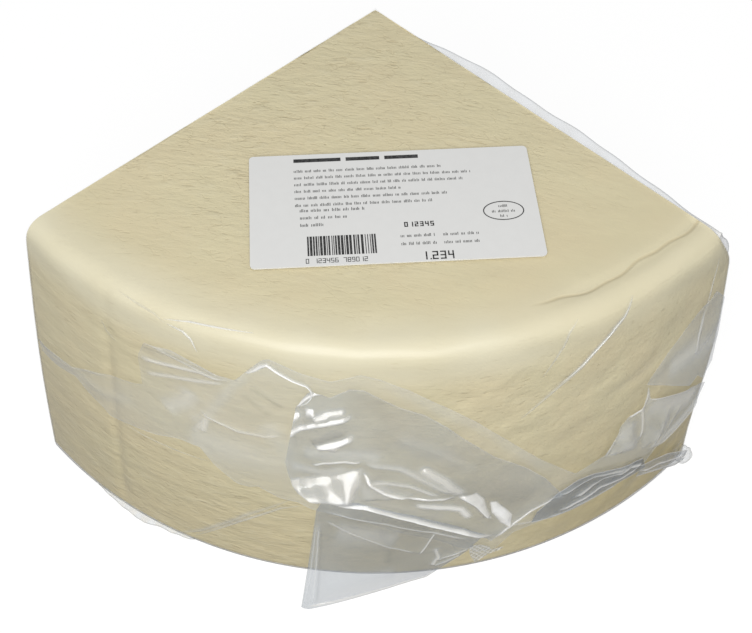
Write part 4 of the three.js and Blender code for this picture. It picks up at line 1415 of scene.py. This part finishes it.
class OBJECT_OT_label(bpy.types.Operator):
    """Finish the label and lay its plain print on it"""

    bl_idname = "object.cheese_label"
    bl_label = "Label"

    def execute(self, context):
        looks = context.scene.cheese_looks
        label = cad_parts["label"]
        label.data.materials.clear()
        label.data.materials.append(paper_material(looks))
        rows = self.strokes()
        deselect_all()
        bpy.ops.mesh.primitive_plane_add(size=1)
        stroke = active()
        unit = coordinates(stroke)
        faces = [tuple(face.vertices) for face in stroke.data.polygons]
        points, picked = [], []
        for left, right, low, high in rows:
            base = len(points)
            middle = ((left + right) / 2, (low + high) / 2, 0)
            points.extend(unit * (right - left, high - low, 1) + middle)
            picked.extend(tuple(base + index for index in face) for face in faces)
        stroke.data.clear_geometry()
        stroke.data.from_pydata([tuple(point) for point in points], [], picked)
        ring = self.ring()
        ink = join([stroke, ring])
        turn = Matrix.Rotation(math.radians(LABEL_TURN), 3, "Z")
        place = np.array([APEX[0] + LABEL_PLACE[0], APEX[1] + LABEL_PLACE[1], 0])
        top = max(corner[2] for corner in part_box("label")) / MM
        flat = coordinates(ink)
        moved = flat @ np.array(turn).T + place
        moved[:, 2] = top + PRINT_LIFT + flat[:, 2]
        set_coordinates(ink, moved * MM)
        thicken(ink, PRINT_LIFT / 2)
        finish_piece(ink, "label_print", ink_material(looks), "label")
        return {"FINISHED"}

    def ring(self):
        deselect_all()
        bpy.ops.mesh.primitive_circle_add(vertices=72, radius=1, fill_type="NOTHING")
        ring = active()
        edit(
            ring,
            lambda: bpy.ops.mesh.extrude_region(),
            lambda: bpy.ops.transform.resize(value=(0.95, 0.92, 1)),
        )
        flat = coordinates(ring)
        set_coordinates(ring, flat * (7, 4.2, 1) + (37, -4.7, 0))
        edit(ring, lambda: bpy.ops.mesh.normals_make_consistent(inside=False))
        return ring

    def strokes(self):
        """Strokes as (left, right, low, high), in millimetres from the label's middle."""
        draw = random.Random(PRINT_SEED)
        bars = ((-33.5, -17), (-15.2, -3.4), (-1.6, 10.2))
        rows = [(left, right, 21.1, 22.7) for left, right in bars]
        for right, level in ((18, 17), (28, 13.9), (25, 10.8), (3, 7.7), (19, 4.6), (14, 1.4)):
            rows += self.words(draw, -33.5, right, level, 1.25, 0.2)
        for right, level in ((-10, -1), (-15, -4.2), (-24, -7.4)):
            rows += self.words(draw, -32, right, level, 1.3, 0.22)
        for level in (-13.8, -17.2):
            rows += self.words(draw, 1.2, 13, level, 1.25, 0.2)
            rows += self.words(draw, 15.5, 27.4, level, 1.25, 0.2)
        for left, right, level in ((35.5, 38.5, -2.6), (33, 41, -4.9), (35.6, 38.2, -7)):
            rows += self.words(draw, left, right, level, 1.1, 0.2)
        rows += self.number("012345", 3, -9.8, 1.7, 0.38)
        rows += self.number("1.234", 7.6, -24, 2.9, 0.48)
        rows += self.number("0 123456 789012", -30.6, -23.6, 1.7, 0.22)
        place = -30.0
        while place < -7:
            width = draw.choice((0.28, 0.28, 0.55, 0.8))
            rows.append((place, place + width, -20.6, -12.4))
            place += width + draw.choice((0.3, 0.3, 0.55))
        return rows

    def words(self, draw, left, right, level, size, stroke):
        """Upright strokes in groups, set like a line of print but standing for no letters."""
        rows = []
        place = left
        while place < right:
            count = draw.randint(3, 8)
            for _ in range(count):
                if place + stroke > right:
                    break
                tall = size * draw.choice((0.72, 0.72, 1.0))
                rows.append((place, place + stroke, level - size / 2, level - size / 2 + tall))
                place += stroke * draw.choice((2.0, 2.3, 2.6))
            place += size * 0.6
        return rows

    def number(self, text, left, low, size, stroke):
        """Strokes of a plain number in square digits."""
        rows = []
        wide = 0.5 * size
        for digit in text:
            if digit == ".":
                rows.append((left, left + stroke, low - stroke / 2, low + stroke / 2))
                left += 2.2 * stroke
                continue
            for name, (start, end, foot, head) in SEGMENTS.items():
                if digit in MISSING and name not in MISSING[digit]:
                    rows.append((
                        left + start * wide - stroke / 2, left + end * wide + stroke / 2,
                        low + foot * size - stroke / 2, low + head * size + stroke / 2,
                    ))
            left += wide + 2.4 * stroke
        return rows


class OBJECT_OT_studio(bpy.types.Operator):
    """Set the floor, the soft lights and the camera"""

    bl_idname = "object.cheese_studio"
    bl_label = "Studio"

    def execute(self, context):
        studio = context.scene.cheese_studio
        self.floor()
        self.lights(context, studio)
        self.camera(context)
        context.scene.view_settings.view_transform = "Standard"
        context.scene.cycles.transparent_max_bounces = FILM_BOUNCES
        return {"FINISHED"}

    def floor(self):
        deselect_all()
        bpy.ops.mesh.primitive_plane_add(size=FLOOR_SIZE)
        floor = active()
        edit(floor, lambda: bpy.ops.mesh.subdivide(number_cuts=3))
        floor.name = "floor"
        material, tree, output = new_material("floor")
        shader = shader_node(tree, "ShaderNodeBsdfPrincipled", Roughness=0.9)
        shader.inputs["Base Color"].default_value = (0.2, 0.2, 0.2, 1)
        shader.inputs["Emission Color"].default_value = (1, 1, 1, 1)
        path = tree.nodes.new("ShaderNodeLightPath").outputs
        mirrored = math_node(tree, "MULTIPLY", path["Is Glossy Ray"], 0.25)
        seen = math_node(tree, "MULTIPLY_ADD", path["Is Camera Ray"], 0.85)
        tree.links.new(mirrored, seen.node.inputs[2])
        tree.links.new(seen, shader.inputs["Emission Strength"])
        tree.links.new(shader.outputs[0], output.inputs["Surface"])
        floor.data.materials.append(material)

    def lights(self, context, studio):
        world = bpy.data.worlds.new("studio")
        world.use_nodes = True
        world.node_tree.nodes["Background"].inputs["Color"].default_value = (1, 1, 1, 1)
        world.node_tree.nodes["Background"].inputs["Strength"].default_value = studio.sky
        context.scene.world = world
        turn, lift = math.radians(KEY_AZIMUTH), math.radians(KEY_ELEVATION)
        away = Vector((
            math.sin(turn) * math.cos(lift), -math.cos(turn) * math.cos(lift), math.sin(lift)
        ))
        data = bpy.data.lights.new("key", "AREA")
        data.shape = "RECTANGLE"
        data.size, data.size_y = KEY_SIZE
        data.energy = studio.key_power
        lamp = bpy.data.objects.new("key", data)
        context.scene.collection.objects.link(lamp)
        lamp.location = Vector(KEY_AIM) + away * KEY_DISTANCE
        lamp.rotation_euler = away.to_track_quat("Z", "Y").to_euler()

    def camera(self, context):
        azimuth, elevation = math.radians(CAMERA_AZIMUTH), math.radians(CAMERA_ELEVATION)
        back = Vector((
            math.sin(azimuth) * math.cos(elevation),
            -math.cos(azimuth) * math.cos(elevation),
            math.sin(elevation),
        ))
        right = (-back).cross(Vector((0, 0, 1))).normalized()
        up = right.cross(-back)
        roll = math.radians(CAMERA_ROLL)
        across = right * math.cos(roll) + up * math.sin(roll)
        upward = -right * math.sin(roll) + up * math.cos(roll)
        data = bpy.data.cameras.new("camera")
        data.sensor_width = SENSOR
        data.lens = SENSOR * FOCAL_PIXELS / IMAGE_SIZE[0]
        data.shift_x = (IMAGE_SIZE[0] / 2 - IMAGE_CENTRE[0]) / IMAGE_SIZE[0]
        data.shift_y = (IMAGE_CENTRE[1] - IMAGE_SIZE[1] / 2) / IMAGE_SIZE[0]
        data.clip_start = 0.01
        camera = bpy.data.objects.new("camera", data)
        context.scene.collection.objects.link(camera)
        turn = Matrix((across, upward, back)).transposed().to_4x4()
        camera.matrix_world = Matrix.Translation(Vector(CAMERA_PLACE) * MM) @ turn
        context.scene.camera = camera


class VIEW3D_PT_cheese(bpy.types.Panel):
    bl_label = "Cheese in a clear bag"
    bl_space_type = "VIEW_3D"
    bl_region_type = "UI"
    bl_category = "Cheese"

    def draw(self, context):
        for operator in OPERATORS:
            self.layout.operator(operator.bl_idname)


OPERATORS = (
    OBJECT_OT_studio,
    OBJECT_OT_cheese,
    OBJECT_OT_tight_film,
    OBJECT_OT_film_creases,
    OBJECT_OT_loose_end,
    OBJECT_OT_bag_seam,
    OBJECT_OT_foot_film,
    OBJECT_OT_label,
)
CLASSES = (LooksSettings, StudioSettings, *OPERATORS, VIEW3D_PT_cheese)


def register():
    for cls in CLASSES:
        bpy.utils.register_class(cls)
    bpy.types.Scene.cheese_looks = bpy.props.PointerProperty(type=LooksSettings)
    bpy.types.Scene.cheese_studio = bpy.props.PointerProperty(type=StudioSettings)


def unregister():
    del bpy.types.Scene.cheese_looks
    del bpy.types.Scene.cheese_studio
    for cls in reversed(CLASSES):
        bpy.utils.unregister_class(cls)


def main():
    register()
    for operator in OPERATORS:
        group, name = operator.bl_idname.split(".")
        getattr(getattr(bpy.ops, group), name)()


if __name__ == "__main__":
    main()
